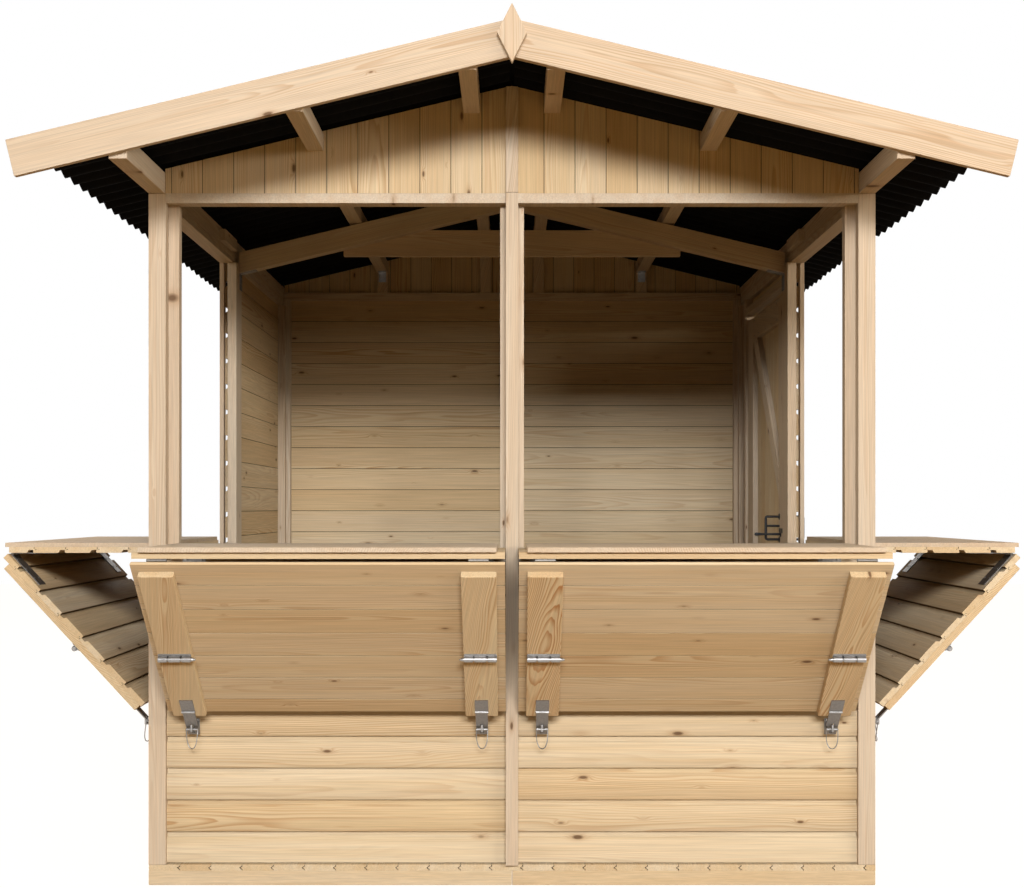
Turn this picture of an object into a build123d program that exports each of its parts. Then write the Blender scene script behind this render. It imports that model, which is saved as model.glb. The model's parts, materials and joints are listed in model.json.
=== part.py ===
"""Wooden market stall: gable roof, four serving hatches, one side door.

Millimetres. The origin is the centre of the square footprint at ground level,
+X to the customer's right when facing the front, +Y to the back, +Z up.
"""
from build123d import *
from math import acos, cos, degrees, radians, sin, tan
import os

os.makedirs("parts", exist_ok=True)

# --- overall ---------------------------------------------------------------
stall_width = 2000.0          # outside of the corner posts, along X
stall_depth = 2000.0          # outside of the corner posts, along Y
wall_top = 1904.0             # top of the corner posts and of the top rails
eave_rise = 56.92             # roof sheets' underside over the wall's outer plane, above wall_top
roof_pitch = 13.5             # degrees
front_overhang = 375.0        # purlins past the wall, at the front and at the back
sheet_overhang = 190.0        # the roof sheets past the side walls, level

# --- base ------------------------------------------------------------------
beam_height = 40.0
beam_width = 45.0
floor_thickness = 16.0

# --- wall layers, from the outside in ---------------------------------------
strip_thickness = 14.0        # cover strips
cladding_thickness = 16.0     # tongue and groove boards
batten_thickness = 30.0       # frame battens inside
post_size = 47.0
rail_height = 27.0
centre_strip_width = 34.0
centre_batten_width = 66.0
cover_strip_thickness = 12.0  # nailed over the joint between the two front bays
cladding_foot_gap = 3.0       # keeps the boards' lower edge off the wet floor
jamb_width = 30.0

# --- serving openings and their folding hatches -----------------------------
sill_top = 913.0
side_jamb_from_front = 905.0  # front face of the middle side posts
side_strip_from_front = 920.0
side_batten_width = 45.0
side_strip_width = 34.0
side_panel_joint = 25.0       # behind the strip's front edge, where the rear boards begin
counter_reach = 403.0         # clad layer of the counter, out from the wall plane
counter_board_lip = 11.0      # the smooth board stands this far past the clad layer
counter_board_thickness = 12.0
brace_length = 565.0
brace_foot_out = 23.84        # from the wall plane to the brace's foot
brace_batten_width = 88.0
brace_batten_thickness = 20.0
brace_batten_length = 538.0
hatch_clearance = 5.0         # board edge to jamb
front_panel_gap = 17.0        # clad edge to corner post at the front hatches
hinge_gap = 4.0               # counter edge to the wall plane

# --- door --------------------------------------------------------------------
door_front = 1000.0           # from the front plane to the near edge of the doorway
doorway_width = 752.0
doorway_top = 1810.0
door_gap = 6.0
door_top_gap = 10.0
door_foot_gap = 6.0
ledge_thickness = 20.0
ledge_height = 86.0
stile_inset = 6.0             # from the edge of the door's boards
stile_width = 105.0
low_ledge_lift = 14.0
mid_ledge_level = 810.0
top_ledge_drop = 14.0
door_brace_width = 85.0       # measured level
door_brace_angle = 50.2       # degrees, up from level

# --- roof --------------------------------------------------------------------
purlin_size = 45.0
mid_purlin = 540.5            # centre line, out from the ridge
ridge_purlin = 110.5
rafter_height = 72.0          # measured plumb
rafter_thickness = 45.0
rafter_from_front = 955.0
tie_height = 90.0
tie_thickness = 22.0
tie_half_length = 586.0
wave_pitch = 76.0
wave_rise = 38.0              # between the straight flanks' corners, before rounding
wave_radius = 16.0
sheet_thickness = 3.0
cap_leg = 140.0
fascia_height = 92.0
fascia_thickness = 18.0
fascia_overhang = 250.0       # the upper end corner past the side walls, level
fascia_rise = 45.0            # the fascias' upper edge over the sheets' underside at the ridge
finial_width = 74.0
finial_height = 146.0
finial_lift = 4.0             # its centre over the sheets' underside at the ridge
gable_rail_height = 33.0

joint_gap = 0.4               # between timbers that meet inside one node
fit_gap = 1.0                 # notches round the purlins

# --- worked out --------------------------------------------------------------
half_width = stall_width / 2
half_depth = stall_depth / 2
floor_top = beam_height + floor_thickness
clad_foot = floor_top + cladding_foot_gap
rail_bottom = wall_top - rail_height
cladding_outside = strip_thickness
cladding_inside = strip_thickness + cladding_thickness
wall_inside = cladding_inside + batten_thickness
strip_half = centre_strip_width / 2
batten_half = centre_batten_width / 2
slope = tan(radians(roof_pitch))
ridge_height = wall_top + eave_rise + slope * half_width   # underside of the sheets
sheet_reach = half_width + sheet_overhang
fascia_reach = half_width + fascia_overhang
fascia_top = ridge_height + fascia_rise
finial_centre = ridge_height + finial_lift
sheet_clearance = 0.3
counter_bottom = sill_top
counter_top = counter_bottom + cladding_thickness + counter_board_thickness


def sheet_line(x):
    """Height of the roof sheets' underside at x from the ridge."""
    return ridge_height - slope * abs(x)


def rafter_line(x):
    """Height of the rafters' top at x from the ridge: it carries the purlins."""
    return sheet_line(x) - purlin_size * (1 + slope)


def purlin_bottom(centre):
    return sheet_line(centre + purlin_size / 2) - purlin_size


def block(x, y, z, on=Plane.XY):
    """A squared timber between two limits along each axis of a plane."""
    middle = Location(((x[0] + x[1]) / 2, (y[0] + y[1]) / 2, (z[0] + z[1]) / 2))
    with Locations(on.location * middle):
        Box(abs(x[1] - x[0]), abs(y[1] - y[0]), abs(z[1] - z[0]))


def profile(plane, points, length):
    """A closed outline drawn on a plane and extruded along its normal."""
    with BuildSketch(plane) as outline:
        with BuildLine():
            Polyline(*points, close=True)
        make_face()
    extrude(outline.sketch, amount=length)


def sided(points, side):
    """The same outline to the right (+1) or to the left (-1) of the ridge."""
    return [(side * x, z) for x, z in points]


def save(built, name):
    built.part.label = name
    export_step(built.part, f"parts/{name}.step")


# Planes on the outside of the walls: x to the right as seen from outside, y up,
# z outwards.
front_wall_plane = Plane(origin=(0, -half_depth, 0), x_dir=(1, 0, 0), z_dir=(0, -1, 0))
right_wall_plane = Plane(origin=(half_width, 0, 0), x_dir=(0, 1, 0), z_dir=(1, 0, 0))
left_wall_plane = Plane(origin=(-half_width, 0, 0), x_dir=(0, -1, 0), z_dir=(-1, 0, 0))
rear_wall_plane = Plane(origin=(0, half_depth, 0), x_dir=(-1, 0, 0), z_dir=(0, 1, 0))

# --- base --------------------------------------------------------------------
beam_y = half_depth - beam_width / 2
side_beam_run = (-half_depth + beam_width + joint_gap, half_depth - beam_width - joint_gap)
joist_run = half_width - beam_width - joint_gap
joist_rows = [-stall_depth / 4, 0, stall_depth / 4]

with BuildPart() as base_beams:
    for end in (-1, 1):
        for side in (-1, 1):
            block((side * joint_gap, side * half_width),
                  (end * (half_depth - beam_width), end * half_depth), (0, beam_height))
    for side in (-1, 1):
        block((side * (half_width - beam_width), side * half_width), side_beam_run,
              (0, beam_height))
    for row in joist_rows:
        block((-joist_run, joist_run), (row - beam_width / 2, row + beam_width / 2),
              (0, beam_height))
save(base_beams, "base_beams")

with BuildPart() as floor:
    block((-half_width, half_width), (-half_depth, half_depth), (beam_height, floor_top))
save(floor, "floor")

# --- posts and rails -----------------------------------------------------------
with BuildPart() as corner_posts:
    for side in (-1, 1):
        for end in (-1, 1):
            block((side * (half_width - post_size), side * half_width),
                  (end * (half_depth - post_size), end * half_depth), (floor_top, wall_top))
save(corner_posts, "corner_posts")

inner_x = half_width - post_size
inner_y = half_depth - post_size

with BuildPart() as top_rails:
    block((-inner_x, inner_x), (-half_depth, -half_depth + post_size), (rail_bottom, wall_top))
    for side in (-1, 1):
        block((side * (half_width - post_size), side * half_width), (-inner_y, inner_y),
              (rail_bottom, wall_top))
save(top_rails, "top_rails")

with BuildPart() as front_centre_post:
    block((-strip_half, strip_half), (floor_top, rail_bottom), (-cladding_inside, 0),
          front_wall_plane)
    block((-batten_half, batten_half), (floor_top, rail_bottom),
          (-wall_inside, -cladding_inside), front_wall_plane)
save(front_centre_post, "front_centre_post")

with BuildPart() as front_jambs:
    for side in (-1, 1):
        block((side * (inner_x - jamb_width), side * inner_x), (floor_top, rail_bottom),
              (-wall_inside, -cladding_inside), front_wall_plane)
save(front_jambs, "front_jambs")

# Along the side walls' planes the corner post is at the front end. A side wall's
# own x runs towards the back on the right and towards the front on the left.
side_walls = {"left": (left_wall_plane, -1), "right": (right_wall_plane, 1)}


def from_front(distance, direction):
    """A side wall's own x at a distance back from the front plane."""
    return direction * (distance - half_depth)


mid_batten_end = side_jamb_from_front + 2 * side_batten_width

with BuildPart() as mid_posts:
    for plane, run in side_walls.values():
        block((from_front(side_jamb_from_front, run), from_front(mid_batten_end, run)),
              (floor_top, rail_bottom), (-wall_inside, -cladding_inside), plane)
        block((from_front(side_strip_from_front, run),
               from_front(side_strip_from_front + side_strip_width, run)),
              (floor_top, rail_bottom), (-cladding_outside, 0), plane)
save(mid_posts, "mid_posts")

# --- sills and lower walls -----------------------------------------------------
sill_bottom = sill_top - rail_height

with BuildPart() as sills:
    for side in (-1, 1):
        block((side * strip_half, side * inner_x), (sill_bottom, sill_top),
              (-cladding_inside, 0), front_wall_plane)
        block((side * batten_half, side * (inner_x - jamb_width)), (sill_bottom, sill_top),
              (-wall_inside, -cladding_inside), front_wall_plane)
    for plane, run in side_walls.values():
        block((from_front(post_size, run), from_front(side_strip_from_front, run)),
              (sill_bottom, sill_top), (-cladding_inside, 0), plane)
        block((from_front(wall_inside, run), from_front(side_jamb_from_front, run)),
              (sill_bottom, sill_top), (-wall_inside, -cladding_inside), plane)
save(sills, "sills")

clad_layer = (-cladding_inside, -cladding_outside)

with BuildPart() as front_wall:
    for side in (-1, 1):
        block((side * strip_half, side * inner_x), (clad_foot, sill_bottom), clad_layer,
              front_wall_plane)
save(front_wall, "front_wall")

# the strip covers the joint between a side's front and rear boards
side_joint = side_strip_from_front + side_panel_joint

for name, (plane, run) in side_walls.items():
    with BuildPart() as side_front_wall:
        block((from_front(post_size, run), from_front(side_joint - joint_gap, run)),
              (clad_foot, sill_bottom), clad_layer, plane)
    save(side_front_wall, f"{name}_front_wall")

back_limit = stall_depth - post_size

with BuildPart() as left_rear_wall:
    block((from_front(side_joint, -1), from_front(back_limit, -1)),
          (clad_foot, rail_bottom), clad_layer, left_wall_plane)
save(left_rear_wall, "left_rear_wall")

door_back = door_front + doorway_width

with BuildPart() as right_wall_before_door:
    block((from_front(side_joint, 1), from_front(door_front, 1)),
          (clad_foot, rail_bottom), clad_layer, right_wall_plane)
save(right_wall_before_door, "right_wall_before_door")

with BuildPart() as right_wall_behind_door:
    block((from_front(door_back, 1), from_front(back_limit, 1)), (clad_foot, rail_bottom),
          clad_layer, right_wall_plane)
save(right_wall_behind_door, "right_wall_behind_door")

with BuildPart() as right_wall_over_door:
    block((from_front(door_front, 1), from_front(door_back, 1)), (doorway_top, rail_bottom),
          clad_layer, right_wall_plane)
save(right_wall_over_door, "right_wall_over_door")

with BuildPart() as door_frame:
    block((from_front(door_back, 1), from_front(door_back + jamb_width, 1)),
          (floor_top, rail_bottom), (-wall_inside, -cladding_inside), right_wall_plane)
    block((from_front(mid_batten_end, 1), from_front(door_back, 1) - joint_gap),
          (doorway_top, doorway_top + batten_thickness), (-wall_inside, -cladding_inside),
          right_wall_plane)
save(door_frame, "door_frame")

for name, side in (("left", -1), ("right", 1)):
    with BuildPart() as rear_wall:
        block((0, side * inner_x), (half_depth - cladding_inside, half_depth - cladding_outside),
              (clad_foot, wall_top))
    save(rear_wall, f"rear_wall_{name}")

with BuildPart() as rear_strips:
    block((-strip_half, strip_half), (floor_top, rail_bottom - joint_gap),
          (-strip_thickness, 0), rear_wall_plane)
    block((-inner_x, inner_x), (rail_bottom, wall_top), (-strip_thickness, 0), rear_wall_plane)
save(rear_strips, "rear_strips")

with BuildPart() as inner_battens:
    block((-batten_half, batten_half), (half_depth - wall_inside, half_depth - cladding_inside),
          (floor_top, wall_top))
    for side in (-1, 1):
        block((side * (inner_x - jamb_width), side * inner_x),
              (half_depth - wall_inside, half_depth - cladding_inside), (floor_top, wall_top))
        block((side * (half_width - wall_inside), side * (half_width - cladding_inside)),
              (half_depth - wall_inside - jamb_width, half_depth - wall_inside - joint_gap),
              (floor_top, rail_bottom))
save(inner_battens, "inner_battens")

# --- gables ----------------------------------------------------------------------
gable_half = half_width - purlin_size - fit_gap


def gable_side():
    """Right half of a gable's outline, from the eave up to the ridge."""
    points = [(gable_half, wall_top), (gable_half, sheet_line(gable_half) - fit_gap)]
    for centre in (mid_purlin, ridge_purlin):
        outer = centre + purlin_size / 2 + fit_gap
        inner = centre - purlin_size / 2 - fit_gap
        seat = purlin_bottom(centre) - fit_gap
        points += [(outer, sheet_line(outer) - fit_gap), (outer, seat), (inner, seat),
                   (inner, sheet_line(inner) - fit_gap)]
    return points


right_half = gable_side()
gable_outline = right_half + [(0, ridge_height - fit_gap)] + sided(reversed(right_half), -1)

for name, front in (("front_gable", half_depth - cladding_thickness), ("rear_gable", -half_depth)):
    with BuildPart() as gable:
        profile(Plane.XZ.offset(front), gable_outline, cladding_thickness)
    save(gable, name)

# One strip runs up the centre post and over the rail, a second one up the gable.
with BuildPart() as front_cover_strips:
    across = (-strip_half, strip_half)
    through = (-half_depth - cover_strip_thickness, -half_depth)
    block(across, through, (floor_top, wall_top - joint_gap))
    block(across, through, (wall_top, sheet_line(strip_half) - 2 * fit_gap))
save(front_cover_strips, "front_cover_strips")

gable_back = half_depth - cladding_thickness
gable_inside = gable_back - batten_thickness

with BuildPart() as gable_rails:
    for end in (-1, 1):
        block((-gable_half, gable_half), (end * gable_inside, end * gable_back),
              (wall_top, wall_top + gable_rail_height))
save(gable_rails, "gable_rails")

purlin_centres = [side * centre for side in (-1, 1) for centre in (mid_purlin, ridge_purlin)]

with BuildPart() as gable_battens:
    for centre in purlin_centres:
        for end in (-1, 1):
            block((centre - purlin_size / 2, centre + purlin_size / 2),
                  (end * gable_inside, end * gable_back),
                  (wall_top + gable_rail_height, purlin_bottom(abs(centre))))
save(gable_battens, "gable_battens")

# --- purlins ---------------------------------------------------------------------
purlin_run = (-half_depth - front_overhang, half_depth + front_overhang)

with BuildPart() as eave_purlins:
    for side in (-1, 1):
        block((side * (half_width - purlin_size), side * half_width), purlin_run,
              (wall_top, sheet_line(half_width)))
save(eave_purlins, "eave_purlins")

for name, centre in (("mid_purlins", mid_purlin), ("ridge_purlins", ridge_purlin)):
    with BuildPart() as purlins:
        for side in (-1, 1):
            middle = side * centre
            block((middle - purlin_size / 2, middle + purlin_size / 2), purlin_run,
                  (purlin_bottom(centre), purlin_bottom(centre) + purlin_size))
    save(purlins, name)

splice_from_front = 705.0
splice_length = 192.0
splice_height = 39.0
splice_thickness = 20.0
splice_lift = 7.0             # above the top rail

with BuildPart() as splice_blocks:
    for side in (-1, 1):
        inner_face = half_width - purlin_size
        start = splice_from_front - half_depth
        block((side * (inner_face - splice_thickness), side * inner_face),
              (start, start + splice_length),
              (wall_top + splice_lift, wall_top + splice_lift + splice_height))
save(splice_blocks, "splice_blocks")

# --- roof truss -------------------------------------------------------------------
rafter_end = half_width - wall_inside
rafter_front = half_depth - rafter_from_front       # towards -Y from the middle

with BuildPart() as rafters:
    for side in (-1, 1):
        outline = [(joint_gap, rafter_line(joint_gap)), (rafter_end, rafter_line(rafter_end)),
                   (rafter_end, rafter_line(rafter_end) - rafter_height),
                   (joint_gap, rafter_line(joint_gap) - rafter_height)]
        profile(Plane.XZ.offset(rafter_front - rafter_thickness), sided(outline, side),
                rafter_thickness)
save(rafters, "rafters")

tie_top = rafter_line(tie_half_length)
tie_front = rafter_thickness - rafter_front

with BuildPart() as collar_tie:
    block((-tie_half_length, tie_half_length), (tie_front, tie_front + tie_thickness),
          (tie_top - tie_height, tie_top))
save(collar_tie, "collar_tie")

bracket_leg = 57.0
bracket_width = 36.0
plate_thickness = 2.5

with BuildPart() as truss_brackets:
    for side in (-1, 1):
        def under_rafter(x):
            return rafter_line(x) - rafter_height
        outline = [(rafter_end, under_rafter(rafter_end)),
                   (rafter_end, under_rafter(rafter_end) - bracket_leg),
                   (rafter_end - plate_thickness, under_rafter(rafter_end) - bracket_leg),
                   (rafter_end - plate_thickness,
                    under_rafter(rafter_end - plate_thickness) - plate_thickness),
                   (rafter_end - bracket_leg,
                    under_rafter(rafter_end - bracket_leg) - plate_thickness),
                   (rafter_end - bracket_leg, under_rafter(rafter_end - bracket_leg))]
        bracket_start = rafter_front - (rafter_thickness + bracket_width) / 2
        profile(Plane.XZ.offset(bracket_start), sided(outline, side), bracket_width)
save(truss_brackets, "truss_brackets")

gable_bracket_leg = 40.0
gable_bracket_width = 30.0

with BuildPart() as gable_brackets:
    for centre in purlin_centres:
        seat = purlin_bottom(abs(centre))
        across = (centre - gable_bracket_width / 2, centre + gable_bracket_width / 2)
        for end in (-1, 1):
            block(across, (end * (gable_inside - plate_thickness), end * gable_inside),
                  (seat - gable_bracket_leg, seat))
            block(across, (end * (gable_inside - gable_bracket_leg), end * gable_inside),
                  (seat - plate_thickness, seat))
save(gable_brackets, "gable_brackets")

# --- roof sheets -------------------------------------------------------------------
pitch_cos = cos(radians(roof_pitch))
pitch_sin = sin(radians(roof_pitch))
half_wave = wave_pitch / 2
half_waves = 2 * int((2 * (half_depth + front_overhang) - 2 * fit_gap) / wave_pitch)
sheet_start = 5.0             # from the ridge, along the slope
rounding_loss = wave_radius * ((1 + (wave_rise / half_wave) ** 2) ** 0.5 - 1)
trough_depth = wave_rise / 2 - rounding_loss
sheet_height = 2 * trough_depth + sheet_thickness


def wave_points(level):
    """Corners of the zigzag that is rounded into the sheet's wave."""
    end = half_waves * half_wave / 2
    corners = [((i + 0.5) * half_wave - end, level + wave_rise / 2 * (-1) ** i)
               for i in range(half_waves)]
    return [(-end, level), *corners, (end, level)]


for name, side in (("left", -1), ("right", 1)):
    sheet_plane = Plane(
        origin=(side * sheet_start * pitch_cos, 0, ridge_height - sheet_start * pitch_sin),
        x_dir=(0, side, 0), z_dir=(side * pitch_cos, 0, -pitch_sin))
    underside = trough_depth + sheet_clearance
    with BuildPart() as roof_sheet:
        with BuildSketch(sheet_plane):
            with BuildLine():
                lower = FilletPolyline(*wave_points(underside), radius=wave_radius)
                upper = FilletPolyline(*wave_points(underside + sheet_thickness),
                                       radius=wave_radius)
                Line(lower @ 0, upper @ 0)
                Line(lower @ 1, upper @ 1)
            make_face()
        extrude(amount=sheet_reach / pitch_cos - sheet_start)
    save(roof_sheet, f"roof_sheet_{name}")

cap_lift = (sheet_height + 2 * sheet_clearance) / pitch_cos
cap_rise = sheet_thickness / pitch_cos
cap_reach = cap_leg * pitch_cos
cap_outline = [(0, ridge_height + cap_lift), (cap_reach, sheet_line(cap_reach) + cap_lift),
               (cap_reach, sheet_line(cap_reach) + cap_lift + cap_rise),
               (0, ridge_height + cap_lift + cap_rise),
               (-cap_reach, sheet_line(cap_reach) + cap_lift + cap_rise),
               (-cap_reach, sheet_line(cap_reach) + cap_lift)]

with BuildPart() as ridge_cap:
    profile(Plane.XZ.offset(half_depth + front_overhang - fit_gap), cap_outline,
            -2 * (half_depth + front_overhang - fit_gap))
save(ridge_cap, "ridge_cap")

# --- fascias and finials --------------------------------------------------------------


def fascia_line(x):
    return fascia_top - slope * x


fascia_low_end = (fascia_reach - fascia_height * pitch_sin,
                  fascia_line(fascia_reach) - fascia_height * pitch_cos)
fascia_outline = [(joint_gap / 2, fascia_line(joint_gap / 2)),
                  (fascia_reach, fascia_line(fascia_reach)), fascia_low_end,
                  (joint_gap / 2, fascia_line(joint_gap / 2) - fascia_height / pitch_cos)]
fascia_back = half_depth + front_overhang

for name, start in (("front_fascia", fascia_back), ("rear_fascia", -fascia_back - fascia_thickness)):
    with BuildPart() as fascia:
        for side in (-1, 1):
            profile(Plane.XZ.offset(start), sided(fascia_outline, side), fascia_thickness)
    save(fascia, name)

finial_outline = [(0, finial_centre + finial_height / 2), (finial_width / 2, finial_centre),
                  (0, finial_centre - finial_height / 2), (-finial_width / 2, finial_centre)]
finial_start = fascia_back + fascia_thickness

with BuildPart() as finials:
    profile(Plane.XZ.offset(finial_start), finial_outline, fascia_thickness)
    profile(Plane.XZ.offset(-finial_start - fascia_thickness), finial_outline, fascia_thickness)
save(finials, "finials")

# --- folding hatches --------------------------------------------------------------------
# Each hatch is (wall plane, clad layer's limits, smooth board's limits) along the wall,
# from its inner end to its corner-post end.
front_board = (batten_half + hatch_clearance, inner_x - jamb_width - hatch_clearance)
front_panel = (strip_half, inner_x - front_panel_gap)
side_board = (half_depth - side_jamb_from_front + hatch_clearance, inner_y - hatch_clearance)
side_panel = (half_depth - side_strip_from_front, inner_y - hatch_clearance)


def mirrored_limits(limits):
    return (-limits[0], -limits[1])


hatches = [
    (front_wall_plane, mirrored_limits(front_panel), mirrored_limits(front_board)),
    (front_wall_plane, front_panel, front_board),
    (left_wall_plane, side_panel, side_board),
    (right_wall_plane, mirrored_limits(side_panel), mirrored_limits(side_board)),
]

with BuildPart() as counter_panels:
    for plane, panel, board in hatches:
        block(panel, (counter_bottom, counter_bottom + cladding_thickness),
              (hinge_gap, counter_reach), plane)
save(counter_panels, "counter_panels")

with BuildPart() as counter_boards:
    for plane, panel, board in hatches:
        block(board, (counter_bottom + cladding_thickness, counter_top),
              (hinge_gap, counter_reach + counter_board_lip), plane)
save(counter_boards, "counter_boards")

# The brace's own plane lies on its clad face, towards the wall: x along the wall,
# y up along the brace, z out of the battens' side. Its origin is the top edge.
brace_head_out = counter_reach + hinge_gap
brace_cos = (brace_head_out - brace_foot_out) / brace_length
brace_sin = (1 - brace_cos ** 2) ** 0.5
brace_angle = degrees(acos(brace_cos))                     # up from level
brace_head_gap = 3.0          # under the counter


def brace_plane(wall):
    head = (wall.origin + wall.z_dir * brace_head_out
            + wall.y_dir * (counter_bottom - brace_head_gap))
    return Plane(origin=head, x_dir=wall.x_dir,
                 z_dir=wall.z_dir * brace_sin - wall.y_dir * brace_cos)


def batten_limits(board):
    """The two battens' limits: flush with the smooth board's two ends."""
    inward = 1 if board[1] > board[0] else -1
    return [(board[0], board[0] + inward * brace_batten_width),
            (board[1] - inward * brace_batten_width, board[1])]


batten_drop = brace_length - brace_batten_length - 4.0
batten_face = cladding_thickness + brace_batten_thickness

with BuildPart() as brace_panels:
    for plane, panel, board in hatches:
        block(panel, (-brace_length, 0), (0, cladding_thickness), brace_plane(plane))
save(brace_panels, "brace_panels")

with BuildPart() as brace_battens:
    for plane, panel, board in hatches:
        for limits in batten_limits(board):
            block(limits, (-batten_drop - brace_batten_length, -batten_drop),
                  (cladding_thickness, batten_face), brace_plane(plane))
save(brace_battens, "brace_battens")

# --- hatch ironwork -------------------------------------------------------------------------
wall_hinge_width = 63.0
wall_hinge_leaf = 35.0
brace_hinge_width = 50.0
brace_hinge_leaf = 120.0
hinge_plate = 2.5
knuckle_radius = 4.0

with BuildPart() as wall_hinges:
    for plane, panel, board in hatches:
        for limits in batten_limits(board):
            middle = sum(limits) / 2
            across = (middle - wall_hinge_width / 2, middle + wall_hinge_width / 2)
            block(across, (sill_bottom, sill_top - hinge_plate), (0, hinge_plate), plane)
            block(across, (counter_bottom - hinge_plate, counter_bottom),
                  (0, wall_hinge_leaf), plane)
save(wall_hinges, "wall_hinges")

# the knuckle touches the counter's underside and the brace's clad face
apex_gap = knuckle_radius / tan(radians(brace_angle / 2))
apex_shift = brace_head_gap / tan(radians(brace_angle))
knuckle_out = brace_head_out + apex_shift - apex_gap

with BuildPart() as brace_hinges:
    for plane, panel, board in hatches:
        slant = brace_plane(plane)
        for limits in batten_limits(board):
            middle = sum(limits) / 2
            across = (middle - brace_hinge_width / 2, middle + brace_hinge_width / 2)
            block(across, (counter_bottom - hinge_plate, counter_bottom),
                  (knuckle_out - brace_hinge_leaf, knuckle_out), plane)
            block(across, (-brace_hinge_leaf, brace_head_gap / brace_sin - apex_gap),
                  (-hinge_plate, 0), slant)
            knuckle = Location((middle, counter_bottom - knuckle_radius, knuckle_out), (0, 90, 0))
            with Locations(plane.location * knuckle):
                Cylinder(knuckle_radius, brace_hinge_width)
save(brace_hinges, "brace_hinges")

bolt_drop = 320.0             # down the brace from its head
bolt_plate_length = 86.0
bolt_plate_height = 28.0
bolt_plate_thickness = 2.0
bolt_barrel_radius = 7.5
bolt_tip_radius = 4.0
bolt_tip = 12.0               # the bolt's knob past the barrel, towards the panel's middle

with BuildPart() as hatch_bolts:
    for plane, panel, board in hatches:
        slant = brace_plane(plane)
        hatch_middle = sum(board) / 2
        for limits in batten_limits(board):
            middle = sum(limits) / 2
            towards = 1 if hatch_middle > middle else -1
            block((middle - bolt_plate_length / 2, middle + bolt_plate_length / 2),
                  (-bolt_drop - bolt_plate_height / 2, -bolt_drop + bolt_plate_height / 2),
                  (batten_face, batten_face + bolt_plate_thickness), slant)
            barrel_lift = batten_face + bolt_barrel_radius
            barrel_place = Location((middle, -bolt_drop, barrel_lift), (0, 90, 0))
            with Locations(slant.location * barrel_place):
                Cylinder(bolt_barrel_radius, bolt_plate_length)
            tip_middle = middle + towards * (bolt_plate_length + bolt_tip) / 2
            tip_place = Location((tip_middle, -bolt_drop, barrel_lift), (0, 90, 0))
            with Locations(slant.location * tip_place):
                Cylinder(bolt_tip_radius, bolt_tip)
save(hatch_bolts, "hatch_bolts")

# Foot: a hasp is screwed to each batten. Its hinged strap runs on in line with the batten
# down to the wall, where its slot sits over a lug. A linchpin goes through the lug.
strap_thickness = 3.0
hasp_width = 36.0
hasp_start = 493.0            # down the brace from its head
hasp_hinge = 540.0
hasp_strap_width = 33.0
hasp_knuckle_radius = 3.5
strap_end_out = 2.0           # from the wall plane
lug_thickness = 5.0
lug_reach = 36.0
lug_height = 20.0
lug_strap_out = 20.0          # where the strap crosses the lug's middle
slot_gap = 2.0
eye_plate_width = 24.0
eye_plate_height = 40.0
pin_out = 28.0
pin_radius = 3.0
pin_gap = 0.2
pin_drop = 4.0                # below the lug's middle
bail_width = 33.0
bail_height = 54.0
wire_radius = 1.5


def strap_point(out):
    """How far down the brace's plane the strap's inner face is at a distance off the wall."""
    return (brace_head_out + batten_face * brace_sin - out) / brace_cos


def strap_height(out):
    """Height of the strap's inner face at a distance off the wall."""
    return (counter_bottom - brace_head_gap - batten_face * brace_cos
            - strap_point(out) * brace_sin)


lug_level = strap_height(lug_strap_out)
slot_half = (lug_height / 2 + slot_gap) / brace_sin + strap_thickness * brace_cos / brace_sin
pin_height = lug_level - pin_drop

with BuildPart() as foot_straps:
    for plane, panel, board in hatches:
        slant = brace_plane(plane)
        for limits in batten_limits(board):
            middle = sum(limits) / 2
            block((middle - hasp_width / 2, middle + hasp_width / 2), (-hasp_hinge, -hasp_start),
                  (batten_face, batten_face + strap_thickness), slant)
            block((middle - hasp_strap_width / 2, middle + hasp_strap_width / 2),
                  (-strap_point(strap_end_out), -hasp_hinge),
                  (batten_face, batten_face + strap_thickness), slant)
            knuckle = Location((middle, -hasp_hinge, batten_face + hasp_knuckle_radius),
                               (0, 90, 0))
            with Locations(slant.location * knuckle):
                Cylinder(hasp_knuckle_radius, hasp_width)
            slot = Location((middle, -strap_point(lug_strap_out), batten_face))
            with Locations(slant.location * slot):
                Box(lug_thickness + 2 * slot_gap, 2 * slot_half, 4 * strap_thickness,
                    mode=Mode.SUBTRACT)
save(foot_straps, "foot_straps")

with BuildPart() as eye_plates:
    for plane, panel, board in hatches:
        for limits in batten_limits(board):
            middle = sum(limits) / 2
            block((middle - eye_plate_width / 2, middle + eye_plate_width / 2),
                  (lug_level - eye_plate_height / 2, lug_level + eye_plate_height / 2),
                  (-cladding_outside, -cladding_outside + strap_thickness), plane)
            block((middle - lug_thickness / 2, middle + lug_thickness / 2),
                  (lug_level - lug_height / 2, lug_level + lug_height / 2),
                  (-cladding_outside, lug_reach), plane)
            hole = Location((middle, pin_height, pin_out), (0, 90, 0))
            with Locations(plane.location * hole):
                Cylinder(pin_radius + pin_gap, 2 * lug_thickness, mode=Mode.SUBTRACT)
save(eye_plates, "eye_plates")

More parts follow.
